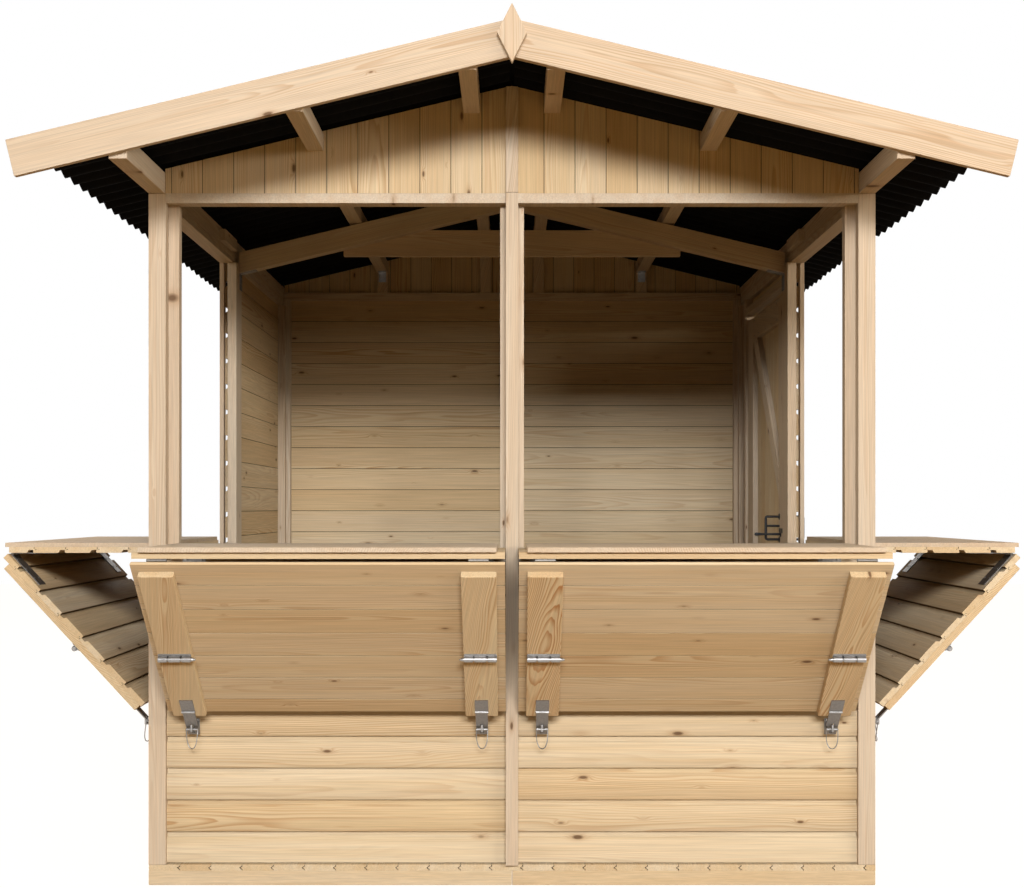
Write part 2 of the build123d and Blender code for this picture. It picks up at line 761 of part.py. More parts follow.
with BuildPart() as linchpins:
    for plane, panel, board in hatches:
        for limits in batten_limits(board):
            middle = sum(limits) / 2
            half = bail_width / 2
            pin = Location((middle, pin_height, pin_out), (0, 90, 0))
            with Locations(plane.location * pin):
                Cylinder(pin_radius, bail_width)
            centre = (plane.origin + plane.x_dir * middle + plane.y_dir * pin_height
                      + plane.z_dir * pin_out)
            bail_plane = Plane(origin=centre, x_dir=plane.x_dir, z_dir=plane.z_dir)
            with BuildLine(bail_plane) as bail:
                Line((-half, 0), (-half, half - bail_height))
                RadiusArc((-half, half - bail_height), (half, half - bail_height), -half)
                Line((half, half - bail_height), (half, 0))
            with BuildSketch(Plane(origin=bail.wires()[0] @ 0, z_dir=-plane.y_dir)):
                Circle(wire_radius)
            sweep(path=bail.wires()[0])
save(linchpins, "linchpins")

# --- door ------------------------------------------------------------------------------------
leaf_front = from_front(door_front + door_gap, 1)
leaf_back = from_front(door_back - door_gap, 1)
leaf_bottom = floor_top + door_foot_gap
leaf_top = doorway_top - door_top_gap
leaf_face = -cladding_inside
ledge_face = leaf_face - ledge_thickness

with BuildPart() as door_leaf:
    block((leaf_front, leaf_back), (leaf_bottom, leaf_top), clad_layer, right_wall_plane)
save(door_leaf, "door_leaf")

stile_run = (leaf_front + stile_inset, leaf_back - stile_inset)
ledge_run = (stile_run[0] + stile_width + joint_gap, stile_run[1] - stile_width - joint_gap)
ledge_levels = [leaf_bottom + low_ledge_lift, mid_ledge_level,
                leaf_top - top_ledge_drop - ledge_height]

with BuildPart() as door_stiles:
    for edge, inward in ((stile_run[0], 1), (stile_run[1], -1)):
        block((edge, edge + inward * stile_width),
              (ledge_levels[0], ledge_levels[2] + ledge_height), (ledge_face, leaf_face),
              right_wall_plane)
save(door_stiles, "door_stiles")

with BuildPart() as door_ledges:
    for level in ledge_levels:
        block(ledge_run, (level, level + ledge_height), (ledge_face, leaf_face), right_wall_plane)
save(door_ledges, "door_ledges")

brace_grade = tan(radians(door_brace_angle))


def diagonal(ledge):
    """A door brace from the hinge corner under a ledge down to the front stile."""
    near = ledge_run[0] + joint_gap
    far = ledge_run[1] - joint_gap
    head = ledge_levels[ledge] - joint_gap
    foot = head - brace_grade * (far - door_brace_width - near)
    profile(right_wall_plane.offset(ledge_face),
            [(near, foot - brace_grade * door_brace_width), (far, head),
             (far - door_brace_width, head), (near, foot)],
            ledge_thickness)


with BuildPart() as door_braces:
    diagonal(1)
    diagonal(2)
save(door_braces, "door_braces")

hinge_axis_out = -cladding_outside + 7.5
hinge_axis_along = from_front(door_back - door_gap / 2, 1)
barrel_radius = 6.0
barrel_height = 60.0
barrel_gap = 0.5
hinge_pin_radius = 2.5
pin_clearance = 0.05
strap_length = 300.0
strap_height = 35.0
hinge_levels = [ledge_levels[0] + ledge_height / 2, ledge_levels[2] + ledge_height / 2]
plate_width = 45.0


def barrel(level, from_level, to_level, radius, mode=Mode.ADD):
    """A piece of the upright hinge barrel between two heights about a level."""
    middle = Location((hinge_axis_along, level + (from_level + to_level) / 2, hinge_axis_out),
                      (90, 0, 0))
    with Locations(right_wall_plane.location * middle):
        Cylinder(radius, to_level - from_level, mode=mode)


third = barrel_height / 6

with BuildPart() as door_straps:
    for level in hinge_levels:
        block((hinge_axis_along - strap_length, hinge_axis_along),
              (level - third + barrel_gap, level + third - barrel_gap),
              (-cladding_outside, -cladding_outside + strap_thickness), right_wall_plane)
        barrel(level, -third + barrel_gap, third - barrel_gap, barrel_radius)
    for level in hinge_levels:
        barrel(level, -barrel_height, barrel_height, hinge_pin_radius + pin_clearance,
               Mode.SUBTRACT)
save(door_straps, "door_straps")

with BuildPart() as door_hinge_plates:
    for level in hinge_levels:
        block((hinge_axis_along + barrel_radius + fit_gap, hinge_axis_along + plate_width),
              (level - barrel_height / 2, level + barrel_height / 2),
              (-cladding_outside, -cladding_outside + strap_thickness), right_wall_plane)
        for low, high in ((-barrel_height / 2, -third), (third, barrel_height / 2)):
            barrel(level, low, high, barrel_radius)
            block((hinge_axis_along, hinge_axis_along + barrel_radius + 2 * fit_gap),
                  (level + low, level + high),
                  (-cladding_outside + fit_gap, -cladding_outside + strap_thickness),
                  right_wall_plane)
        barrel(level, -barrel_height / 2, barrel_height / 2, hinge_pin_radius)
save(door_hinge_plates, "door_hinge_plates")

handle_from_front = 1100.0
handle_level = 922.0
handle_height = 90.0
handle_reach = 53.0
handle_bar = 9.0
handle_width = 14.0
stay_level = 970.0            # the bar across the inside handle
lever_from_front = 1075.0
lever_level = 941.0
lever_reach = 93.0
latch_thickness = 4.0
latch_height = 16.0

handle_along = from_front(handle_from_front, 1)

with BuildPart() as door_handles:
    spread = (handle_along - handle_width / 2, handle_along + handle_width / 2)
    for face, away in ((ledge_face, -1), (-cladding_outside, 1)):
        inner = face + away * (handle_reach - handle_bar)
        outer = face + away * handle_reach
        block(spread, (handle_level, handle_level + handle_height), (inner, outer),
              right_wall_plane)
        for level in (handle_level, handle_level + handle_height - handle_bar):
            block(spread, (level, level + handle_bar), (face, outer), right_wall_plane)
    block(spread, (stay_level, stay_level + handle_bar),
          (ledge_face, ledge_face - handle_reach), right_wall_plane)
save(door_handles, "door_handles")

with BuildPart() as door_latch:
    latch_along = stile_run[0] + joint_gap
    lever_along = from_front(lever_from_front, 1)
    block((latch_along, handle_along - handle_width / 2 - fit_gap),
          (lever_level + handle_bar, lever_level + handle_bar + latch_height),
          (ledge_face - latch_thickness, ledge_face), right_wall_plane)
    block((lever_along - handle_bar / 2, lever_along + handle_bar / 2),
          (lever_level, lever_level + handle_bar), (ledge_face - lever_reach, ledge_face),
          right_wall_plane)
save(door_latch, "door_latch")
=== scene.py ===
# %% [markdown]
# # A wooden market stall
# The CAD frame holds every timber, board and hinge of the stall at its real size. This lesson
# dresses that frame: slabs become tongue and groove boards, timbers get eased edges and pine
# grain, and the plain ironwork gets its screws, knuckles and tips. The frame comes first,
# because every piece made below takes its place and its size from it.

# %% Load the frame
import itertools
import json
import math
from collections import namedtuple

import bmesh
import bpy
import numpy as np
from mathutils import Matrix, Vector

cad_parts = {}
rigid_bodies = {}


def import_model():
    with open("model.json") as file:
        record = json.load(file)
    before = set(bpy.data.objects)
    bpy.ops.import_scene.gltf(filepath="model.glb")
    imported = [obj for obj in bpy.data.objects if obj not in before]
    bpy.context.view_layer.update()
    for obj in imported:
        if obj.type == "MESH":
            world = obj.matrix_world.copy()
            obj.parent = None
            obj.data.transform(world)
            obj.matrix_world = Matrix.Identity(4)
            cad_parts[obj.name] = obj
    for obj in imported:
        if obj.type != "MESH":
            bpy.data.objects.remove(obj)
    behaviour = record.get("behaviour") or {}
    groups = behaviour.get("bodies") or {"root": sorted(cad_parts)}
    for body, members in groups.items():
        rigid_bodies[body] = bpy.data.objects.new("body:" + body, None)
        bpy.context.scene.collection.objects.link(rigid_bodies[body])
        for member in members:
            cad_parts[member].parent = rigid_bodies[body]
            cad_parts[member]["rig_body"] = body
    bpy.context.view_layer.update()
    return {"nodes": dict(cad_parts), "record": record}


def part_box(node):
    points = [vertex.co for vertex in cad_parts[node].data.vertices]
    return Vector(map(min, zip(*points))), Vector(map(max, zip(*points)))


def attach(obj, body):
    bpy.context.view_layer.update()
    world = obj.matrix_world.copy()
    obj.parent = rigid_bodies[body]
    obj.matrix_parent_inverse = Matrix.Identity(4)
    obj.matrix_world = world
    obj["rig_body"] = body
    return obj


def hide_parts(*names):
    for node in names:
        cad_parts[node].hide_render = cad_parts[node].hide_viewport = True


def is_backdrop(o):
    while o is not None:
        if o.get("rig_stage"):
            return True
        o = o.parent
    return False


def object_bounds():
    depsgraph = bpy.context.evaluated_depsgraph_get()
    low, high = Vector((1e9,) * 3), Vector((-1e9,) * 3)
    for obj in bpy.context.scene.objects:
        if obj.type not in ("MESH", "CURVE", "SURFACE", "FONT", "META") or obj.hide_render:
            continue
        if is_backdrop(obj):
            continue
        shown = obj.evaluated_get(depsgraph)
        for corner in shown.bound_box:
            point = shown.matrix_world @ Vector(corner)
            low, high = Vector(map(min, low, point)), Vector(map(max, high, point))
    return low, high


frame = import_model()
nodes = frame["nodes"]
mm = 0.001

# %% [markdown]
# ## The camera
# The stall is looked at straight on, from a customer's chest height, so the camera is level
# and looks along +Y. A level camera keeps every post upright. The frame is moved up by the
# lens shift and not by a tilt.

# %% Set up the camera
stall_front = -1.0           # the plane of the front wall
camera_distance = 3.78       # from the camera to that plane
camera_height = 1.038
camera_lens = 48.3           # millimetres
film_width = 36
camera_shift = 0.0625        # of the render's width

camera = bpy.data.objects.new("camera", bpy.data.cameras.new("camera"))
bpy.context.scene.collection.objects.link(camera)
camera.location = (0, stall_front - camera_distance, camera_height)
camera.rotation_euler = (math.radians(90), 0, 0)
camera.data.sensor_width = film_width
camera.data.lens = camera_lens
camera.data.shift_y = camera_shift
bpy.context.scene.camera = camera

# %% [markdown]
# ## Node trees without the clutter
# Materials and Geometry Nodes are both trees of nodes joined by links. A few small helpers keep
# the rest readable. The first fills a node's inputs, with a link where the value is another
# node's output and with a plain number where it isn't. The second adds a node and fills it,
# and the others are the sums, ranges, colours and vectors that both kinds of tree share.


# %% Helpers for node trees
def fill(tree, node, inputs):
    """A node with its inputs linked or filled."""
    for key, value in inputs.items():
        if isinstance(value, bpy.types.NodeSocket):
            tree.links.new(value, node.inputs[key])
        else:
            node.inputs[key].default_value = value
    return node


def add(tree, kind, inputs=None, **properties):
    """A new node with its properties set and its inputs filled."""
    node = tree.nodes.new(kind)
    for key, value in properties.items():
        setattr(node, key, value)
    return fill(tree, node, inputs or {})


def maths(tree, operation, *values):
    """The output of a Math node."""
    return add(tree, "ShaderNodeMath", dict(enumerate(values)), operation=operation).outputs[0]


def times(tree, *values):
    """The product of two values or more."""
    product, *others = values
    for value in others:
        product = maths(tree, "MULTIPLY", product, value)
    return product


def vector_maths(tree, operation, *values, output=0):
    """An output of a Vector Math node."""
    node = add(tree, "ShaderNodeVectorMath", dict(enumerate(values)), operation=operation)
    return node.outputs[output]


def scaled(tree, vector, along, across, through):
    """A vector with its three parts scaled."""
    return vector_maths(tree, "MULTIPLY", vector, Vector((along, across, through)))


def xyz(tree, **parts):
    """A vector from its X, Y and Z. A part that isn't given is zero."""
    return add(tree, "ShaderNodeCombineXYZ", parts).outputs[0]


def remap(tree, value, low, high, to_low=0.0, to_high=1.0):
    """A value's range moved and clamped to another range."""
    return add(tree, "ShaderNodeMapRange", {
        "Value": value, "From Min": low, "From Max": high, "To Min": to_low,
        "To Max": to_high}).outputs[0]


def blend(tree, factor, first, second, mode="MIX"):
    """A colour between two others."""
    first, second = (colour if isinstance(colour, bpy.types.NodeSocket) else (*colour, 1)
                     for colour in (first, second))
    return add(tree, "ShaderNodeMix", {0: factor, 6: first, 7: second}, data_type="RGBA",
               blend_type=mode).outputs[2]


def noise(tree, place, scale=1.0, detail=2.0, roughness=0.5, output="Fac"):
    """Noise over a place."""
    return add(tree, "ShaderNodeTexNoise", {"Vector": place, "Scale": scale, "Detail": detail,
                                            "Roughness": roughness}).outputs[output]


def new_material(name):
    """A material with nodes, its tree and its shader."""
    material = bpy.data.materials.new(name)
    material.use_nodes = True
    tree = material.node_tree
    return material, tree, tree.nodes["Principled BSDF"]


def bumped(tree, height, strength, depth):
    """A surface's direction, changed by a height."""
    return add(tree, "ShaderNodeBump", {"Height": height, "Strength": strength,
                                        "Distance": depth}).outputs[0]


# %% [markdown]
# ## Pine
# Planed pine shows its growth rings. A board is a slice of the trunk, so the rings are
# circles round the pith, cut by the board's faces: straight lines near the edges, long arches
# in the middle, small arcs on the end grain. A flat print of grain can't do this on every
# face, but distance from the pith can, and it needs only one thing from each timber: where a
# point lies along, across and through it. Every timber and board carries that as an attribute
# called grain, with its own random place in the trunk, and a second one, tone, makes each
# board a little paler or redder than its neighbour. Knots are ellipses that the rings flow
# round. Boards carry a third attribute, joint, for the dust and shade deep in their joints,
# and a fourth, cap, which keeps that shade off their sawn ends.

# %% Pine material
ring_width = 2.7 * mm
knot_spacing = Vector((0.22, 0.085, 0.085))    # along, across and through a board
knot_share = 0.62                              # of the cells that hold a knot
knot_sizes = (1.8 * mm, 5.6 * mm)
knot_squeeze = (0.36, 1, 0.25)                 # so a knot is longest along and through
knot_push = 7 * mm                             # how far a knot pushes the rings aside
push_fall = 0.35                               # how soon the rings close behind it
pith_wander = 35 * mm
grain_depth = 0.25 * mm
fibres, threads = (9, 700, 700), (4, 230, 230)       # in a metre along, across and through
streaks, drifts = (1.2, 42, 42), (0.9, 9, 9)
knot_halo, knot_core = (0.47, 0.25, 0.11), (0.15, 0.08, 0.04)
# the colour of the dust and the painted shade deep in a board's joints
joint_dust_and_shade = (0.07, 0.038, 0.017)
light_kept = 0.5      # of the light that wood hands on to other boards, so the roof stays deep


def pine(name, pale, honey, late, contrast=1.0, arches=1.1):
    """Planed pine: growth rings, fibres and knots from the grain attribute. The pith wanders
    more often along the trunk with more arches."""
    material, tree, shader = new_material(name)
    grain, tone, joint, cap = (
        add(tree, "ShaderNodeAttribute", attribute_name=label).outputs[output]
        for label, output in (("grain", "Vector"), ("tone", "Fac"), ("joint", "Fac"),
                              ("cap", "Fac")))
    joint = times(tree, joint, maths(tree, "SUBTRACT", 1.0, cap))

    # knots: one random place in each cell of a long thin lattice
    cells = vector_maths(tree, "DIVIDE", grain, knot_spacing)
    lattice = add(tree, "ShaderNodeTexVoronoi", {"Vector": cells, "Scale": 1.0,
                                                 "Randomness": 0.85})
    away = vector_maths(tree, "SUBTRACT", cells, lattice.outputs["Position"])
    away = vector_maths(tree, "MULTIPLY", away, knot_spacing)
    reach = vector_maths(tree, "LENGTH", scaled(tree, away, *knot_squeeze), output="Value")
    chance = add(tree, "ShaderNodeSeparateColor", {"Color": lattice.outputs["Color"]}).outputs
    present = maths(tree, "LESS_THAN", chance[0], knot_share)
    nearness = maths(tree, "DIVIDE", reach, remap(tree, chance[1], 0, 1, *knot_sizes))
    swell = times(tree, -push_fall, times(tree, nearness, nearness))
    swell = times(tree, maths(tree, "POWER", 2.718, swell), present)
    core = times(tree, remap(tree, nearness, 1.15, 0.6), present)

    # rings: distance from a pith that wanders along the trunk
    slow = noise(tree, scaled(tree, grain, arches, 7, 7), roughness=0.45, output="Color")
    wander = vector_maths(tree, "SUBTRACT", slow, Vector((0.5, 0.5, 0.5)))
    bent = vector_maths(tree, "ADD", grain, scaled(tree, wander, 0, pith_wander, pith_wander))
    across = scaled(tree, bent, 0, 1, 1)
    radius = vector_maths(tree, "LENGTH", across, output="Value")
    radius = maths(tree, "ADD", radius, times(tree, swell, knot_push))
    uneven = times(tree, noise(tree, across, 60.0, 1.0), 1.2)
    count = maths(tree, "ADD", maths(tree, "DIVIDE", radius, ring_width), uneven)
    ring = maths(tree, "FRACT", count)
    latewood = times(tree, remap(tree, ring, 0.4, 0.86), remap(tree, ring, 1.0, 0.93))

    # fibres and slow drifts of colour
    fibre = noise(tree, scaled(tree, grain, *fibres), detail=3.0, roughness=0.6)
    streak = noise(tree, scaled(tree, grain, *streaks))
    thread = noise(tree, scaled(tree, grain, *threads), roughness=0.6)
    strength = remap(tree, noise(tree, scaled(tree, grain, *drifts)), 0.35, 0.68, 0.25, 1.0)

    colour = blend(tree, remap(tree, tone, 0.0, 1.2, 0.0, 0.85), pale, honey)
    colour = blend(tree, remap(tree, streak, 0.40, 0.70, 0.0, 0.5), colour, honey)
    shade = times(tree, latewood, strength, contrast, remap(tree, tone, 0, 1, 0.4, 1.15))
    colour = blend(tree, shade, colour, late)
    light = times(tree, remap(tree, fibre, 0.25, 0.75, 0.92, 1.06),
                  remap(tree, thread, 0.3, 0.7, 0.90, 1.07))
    light = add(tree, "ShaderNodeCombineColor", {"Red": light, "Green": light, "Blue": light})
    colour = blend(tree, 1.0, colour, light.outputs[0], "MULTIPLY")
    colour = blend(tree, remap(tree, swell, 0.05, 0.9, 0.0, 0.55), colour, knot_halo)
    colour = blend(tree, times(tree, core, 0.85), colour, knot_core)
    # dust and painted shade in the joints: darker where the joint attribute is high, but not on
    # sawn ends
    colour = blend(tree, times(tree, joint, 0.9), colour, joint_dust_and_shade)
    handed_on = add(tree, "ShaderNodeLightPath").outputs["Is Diffuse Ray"]
    colour = blend(tree, times(tree, handed_on, 1 - light_kept), colour, (0.0, 0.0, 0.0))

    height = maths(tree, "ADD", times(tree, latewood, 0.5), times(tree, fibre, 0.7))
    fill(tree, shader, {"Base Color": colour, "Normal": bumped(tree, height, 0.35, grain_depth),
                        "Roughness": remap(tree, fibre, 0.2, 0.8, 0.56, 0.74),
                        "Specular IOR Level": 0.08})
    return material


board_pine = pine("pine_boards", (0.87, 0.695, 0.465), (0.78, 0.555, 0.295),
                  (0.55, 0.27, 0.10), 0.62)
timber_pine = pine("pine_timber", (0.785, 0.645, 0.48), (0.72, 0.52, 0.335),
                   (0.52, 0.29, 0.13), 0.75)
batten_pine = pine("pine_battens", (0.87, 0.69, 0.43), (0.81, 0.575, 0.31),
                   (0.56, 0.25, 0.085), 1.0, 2.6)
print("pine materials:", board_pine.name, timber_pine.name, batten_pine.name)

# %% [markdown]
# ## Bitumen and steel
# The roof is a fibre sheet soaked in bitumen: black, matt, and slightly rough from the fibres.
# The ironwork is zinc plated steel, a bright grey metal whose plating mottles its gloss. The
# door's pull and lever are painted black.


# %% Bitumen and steel materials
def plain_material(name, colour, roughness, metallic=0.0, specular=0.5, mottle=0.08,
                   mottle_scale=180.0, bump_depth=0.1 * mm, bump_scale=900.0, vary=0.15):
    """A sheet or metal finish: mottled gloss, a slight drift of colour and a fine bump."""
    material, tree, shader = new_material(name)
    place = add(tree, "ShaderNodeTexCoord").outputs["Object"]
    cloud = noise(tree, place, mottle_scale, 3.0)
    darker = tuple(c * (1 - vary) for c in colour)
    lighter = tuple(min(1, c * (1 + vary)) for c in colour)
    fill(tree, shader, {
        "Base Color": blend(tree, remap(tree, cloud, 0.3, 0.7), darker, lighter),
        "Roughness": remap(tree, cloud, 0.3, 0.7, roughness - mottle, roughness + mottle),
        "Normal": bumped(tree, noise(tree, place, bump_scale, 4.0), 0.4, bump_depth),
        "Metallic": metallic, "Specular IOR Level": specular})
    return material


bitumen = plain_material("bitumen", (0.008, 0.0078, 0.0078), 0.88, specular=0.045, mottle=0.06,
                         mottle_scale=30.0, bump_depth=0.6 * mm, bump_scale=420.0, vary=0.3)
zinc = plain_material("zinc_steel", (0.31, 0.30, 0.29), 0.36, metallic=1.0)
dull_zinc = plain_material("dull_zinc", (0.22, 0.205, 0.19), 0.45, metallic=0.85)
black_iron = plain_material("black_iron", (0.025, 0.025, 0.026), 0.5, specular=0.4)
print("sheet and metal:", bitumen.name, zinc.name, dull_zinc.name, black_iron.name)

# %% [markdown]
# ## From CAD nodes to single timbers
# A CAD node arrives as loose triangles, and one node may hold several timbers. Merging the
# doubled corners and dissolving the flat triangles gives clean faces back, and walking from
# face to face finds each separate timber. The longest edge of a timber runs along its grain,
# and its widest face gives its thickness.


# %% Split a node into its solids
same_corner = 0.005 * mm
flat_enough = math.radians(0.6)


def merged(node):
    """A clean copy of a CAD node's mesh."""
    whole = bmesh.new()
    whole.from_mesh(nodes[node].data)
    bmesh.ops.remove_doubles(whole, verts=whole.verts, dist=same_corner)
    return whole


def solids_of(node):
    """The separate solids of a CAD node, as clean meshes with flat faces."""
    whole = merged(node)
    for face in whole.faces:
        face.tag = False
    found = []
    for seed in whole.faces:
        if seed.tag:
            continue
        seed.tag = True
        group, to_visit = [seed], [seed]
        while to_visit:
            for edge in to_visit.pop().edges:
                for other in edge.link_faces:
                    if not other.tag:
                        other.tag = True
                        group.append(other)
                        to_visit.append(other)
        solid = bmesh.new()
        corners = {}
        for face in group:
            for corner in face.verts:
                if corner not in corners:
                    corners[corner] = solid.verts.new(corner.co)
            solid.faces.new([corners[corner] for corner in face.verts])
        bmesh.ops.dissolve_limit(solid, angle_limit=flat_enough, verts=solid.verts,
                                 edges=solid.edges)
        solid.normal_update()
        found.append(solid)
    whole.free()
    return found


def middle_of(solid):
    """The middle of a solid's box."""
    low = Vector([min(v.co[i] for v in solid.verts) for i in range(3)])
    high = Vector([max(v.co[i] for v in solid.verts) for i in range(3)])
    return (low + high) / 2


def timber_axes(solid, along=None):
    """Along the grain, across the wide face and through the thickness."""
    if along is None:
        longest = max(solid.edges, key=lambda edge: round(edge.calc_length(), 5))
        along = (longest.verts[1].co - longest.verts[0].co).normalized()
    wide = max((f for f in solid.faces if abs(f.normal.dot(along)) < 0.1),
               key=lambda face: round(face.calc_area(), 7))
    through = wide.normal.copy()
    return along, through.cross(along), through


def limits(solid, axis):
    """The lowest and the highest reach of a solid along an axis."""
    reaches = [corner.co.dot(axis) for corner in solid.verts]
    return min(reaches), max(reaches)


print("corner posts:", len(solids_of("corner_posts")), "solids")

# %% [markdown]
# ## Pieces
# Each finished piece is an object at the origin with its place in its mesh. It rides on the
# same body as the CAD node that it stands for, so the door's pieces turn with the door.


# %% Make a piece from a mesh
def as_mesh(shape, name):
    """A mesh from an editable shape, which is freed."""
    mesh = bpy.data.meshes.new(name)
    shape.to_mesh(mesh)
    shape.free()
    return mesh


def join_meshes(name, meshes):
    """One mesh from several, with their attributes."""
    whole = bmesh.new()
    for mesh in meshes:
        whole.from_mesh(mesh)
    return as_mesh(whole, name)


def make_piece(name, mesh, material, body, slot, *replaced):
    """An object for a finished mesh, riding on a body."""
    piece = bpy.data.objects.new(name, mesh)
    bpy.context.scene.collection.objects.link(piece)
    mesh.materials.clear()
    mesh.materials.append(material)
    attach(piece, body)
    if replaced:
        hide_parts(*replaced)
    return piece


def body_of(node):
    """The body that a CAD node rides on."""
    return nodes[node]["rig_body"]


# %% [markdown]
# ## Planed timbers
# A planed timber has eased edges, about a millimetre and a half, and they matter: they catch a
# line of light and leave a thin shadow where two timbers meet. A bevel on each timber's own
# edges does it. The grain attribute is written in the same step, with a random place in the
# trunk for each timber from one seeded generator.

# %% Finish the timbers
lottery = np.random.default_rng(29)
eased_edge, thin_eased_edge = 1.5 * mm, 1.0 * mm
trunk_length = 40            # where along it a timber was sawn
pith_aside, pith_out = 30 * mm, 55 * mm
usual_tone, tone_spread = 0.35, 0.22


def write_grain(solid, along, across, through):
    """Where each point lies along, across and through the timber, and the timber's tone."""
    grain = solid.verts.layers.float_vector.new("grain")
    tone = solid.verts.layers.float.new("tone")
    start = lottery.uniform(0, trunk_length)
    pith = middle_of(solid)
    pith_across = pith.dot(across) + lottery.uniform(-pith_aside, pith_aside)
    pith_through = pith.dot(through) + (
        lottery.choice((-1, 1)) * lottery.uniform(0.4, 1) * pith_out)
    shade = float(np.clip(lottery.normal(usual_tone, tone_spread), 0, 1))
    for corner in solid.verts:
        corner[grain] = (corner.co.dot(along) + start, corner.co.dot(across) - pith_across,
                         corner.co.dot(through) - pith_through)
        corner[tone] = shade


def round_edges(shape, edges, width, segments=1):
    """A small radius on some edges of a shape."""
    bmesh.ops.bevel(shape, geom=edges, offset=width, offset_type="OFFSET", segments=segments,
                    profile=0.5, affect="EDGES", clamp_overlap=True)


def finish_timbers(node, along, width):
    """Every timber of a node, with eased edges and grain."""
    solids = solids_of(node)
    for solid in solids:
        axes = timber_axes(solid, along)
        round_edges(solid, solid.edges[:], width, 2)
        write_grain(solid, *axes)
    mesh = join_meshes(node + "_planed", [as_mesh(solid, "timber") for solid in solids])
    wood = {"brace_battens": batten_pine, "base_beams": board_pine}.get(node, timber_pine)
    return make_piece(mesh.name, mesh, wood, body_of(node), "pine_timber", node)


slots = {row["node"]: row["material_slot"] for row in frame["record"]["subparts"]}
grain_ways = {"finials": Vector((0, 0, 1))}      # where the longest edge isn't the grain
edge_widths = {"counter_boards": thin_eased_edge}
timber_nodes = [node for node in sorted(nodes) if slots[node] == "pine_timber"]
for node in timber_nodes:
    finish_timbers(node, grain_ways.get(node), edge_widths.get(node, eased_edge))
print("timber nodes:", len(timber_nodes))

# %% [markdown]
# ## Tongue and groove boards
# The walls, counters, braces and door are all one product: a board 16 mm thick that covers
# 88 mm, with a tongue on one edge and a groove on the other. On its outer face the board is
# scooped out above the next board's lip, which throws the thin shadow line that gives a clad
# wall its look, and under a cover strip the scoop leaves a see-through notch. The gables'
# boards are a little narrower, and the floor's are flat on both faces.
#
# A board is a prism, and a wall is the same prism again and again, so Geometry Nodes suit it.
# The tree takes the outline of one board end, sets a copy at each board's place, clamps the
# copies that pass the sides of the panel, and draws them out to the panel's length. Under a
# roof the drawn end follows the slope. Each board's own number then seeds its place in the
# trunk and its tone.

# %% The outline of a board's end
board_cover = 88 * mm
board_thickness = 16 * mm
scoop_depth = 8 * mm
scoop_width = 19 * mm
joint_step = 2.6 * mm          # from the lip to the joint line on the smooth face
lap_gap = 0.25 * mm
slot_half = 0.8 * mm           # half the joint's width on the smooth face
ramp_width = 6.5 * mm          # where the scoop rises to the outer face


def board_outline(cover):
    """A board's end: x across the board, y from the smooth face, and depth in the joint."""
    top = board_thickness
    slot = cover + joint_step
    slot_near, slot_far = joint_step + slot_half, slot - slot_half
    tip = slot + 5.2 * mm
    ramp = [(cover - scoop_width + ramp_width * (1 - share),
             top - scoop_depth * (1 + math.cos(math.pi * share)) / 2, 0)
            for share in np.linspace(0, 1, 8)]
    scoop = [(cover, top - scoop_depth, 1), (cover - 1.4 * mm, top - scoop_depth, 0.2),
             (cover - 2.4 * mm, top - scoop_depth, 0)] + ramp
    return [(slot_near, 0.7 * mm, 0.3), (slot_near + 0.6 * mm, 0, 0),
            (slot_far - 0.6 * mm, 0, 0), (slot_far, 0.7 * mm, 0.3), (slot_far, 3 * mm, 1),
            (slot_far, 5.6 * mm, 1), (tip - mm, 5.7 * mm, 1), (tip, 6.2 * mm, 1),
            (tip - mm, 7.3 * mm, 1), (cover + lap_gap, 7.6 * mm, 1)] + scoop + [
            (1.4 * mm, top, 0), (lap_gap + 0.3 * mm, top - 0.5 * mm, 0.2),
            (lap_gap, top - 1.4 * mm, 0.7), (lap_gap, 8.0 * mm, 1), (8.3 * mm, 7.8 * mm, 1),
            (8.6 * mm, 5.3 * mm, 1), (slot_near, 5.2 * mm, 1), (slot_near, 3 * mm, 1)]


def floor_outline(cover):
    """A floor board's end: flat on both faces, with a pointed tongue."""
    top, middle, tongue = board_thickness, board_thickness / 2, 6.5 * mm
    edge, gap, bevel = 0.3 * mm, 1.6 * mm, 3.5 * mm
    return [(edge, 0, 0), (cover - edge, 0, 0), (cover - gap, bevel, 1),
            (cover - tongue - gap, middle, 1), (cover - gap, top - bevel, 1),
            (cover - edge, top, 0), (edge, top, 0), (gap, top - bevel, 1),
            (gap - tongue, middle, 1), (gap, bevel, 1)]


print("board outline:", len(board_outline(board_cover)), "corners")

# %% [markdown]
# ## Growing a mesh from a tree
# A Geometry Nodes tree acts through a modifier, and the modifier holds the values of the
# tree's named inputs. The stall is made of plain meshes, so each tree is evaluated on a
# small seed mesh, such as one board's outline, its result is copied out, and the object that
# carried the modifier is removed.


# %% Make a tree and grow a mesh
def new_tree(name, inputs):
    """A Geometry Nodes tree with named inputs, and its group input and output nodes."""
    tree = bpy.data.node_groups.new(name, "GeometryNodeTree")
    kinds = {int: "NodeSocketInt", float: "NodeSocketFloat"}
    tree.interface.new_socket("Geometry", in_out="INPUT", socket_type="NodeSocketGeometry")
    for label, value in inputs.items():
        kind = "NodeSocketMaterial" if value is None else kinds[type(value)]
        socket = tree.interface.new_socket(label, in_out="INPUT", socket_type=kind)
        if value is not None:
            socket.default_value = value
    tree.interface.new_socket("Geometry", in_out="OUTPUT", socket_type="NodeSocketGeometry")
    return tree, add(tree, "NodeGroupInput").outputs, add(tree, "NodeGroupOutput").inputs


def plain_mesh(maker):
    """The finished mesh of an object, which is removed."""
    depsgraph = bpy.context.evaluated_depsgraph_get()
    mesh = bpy.data.meshes.new_from_object(maker.evaluated_get(depsgraph),
                                           preserve_all_data_layers=True, depsgraph=depsgraph)
    bpy.data.objects.remove(maker)
    return mesh


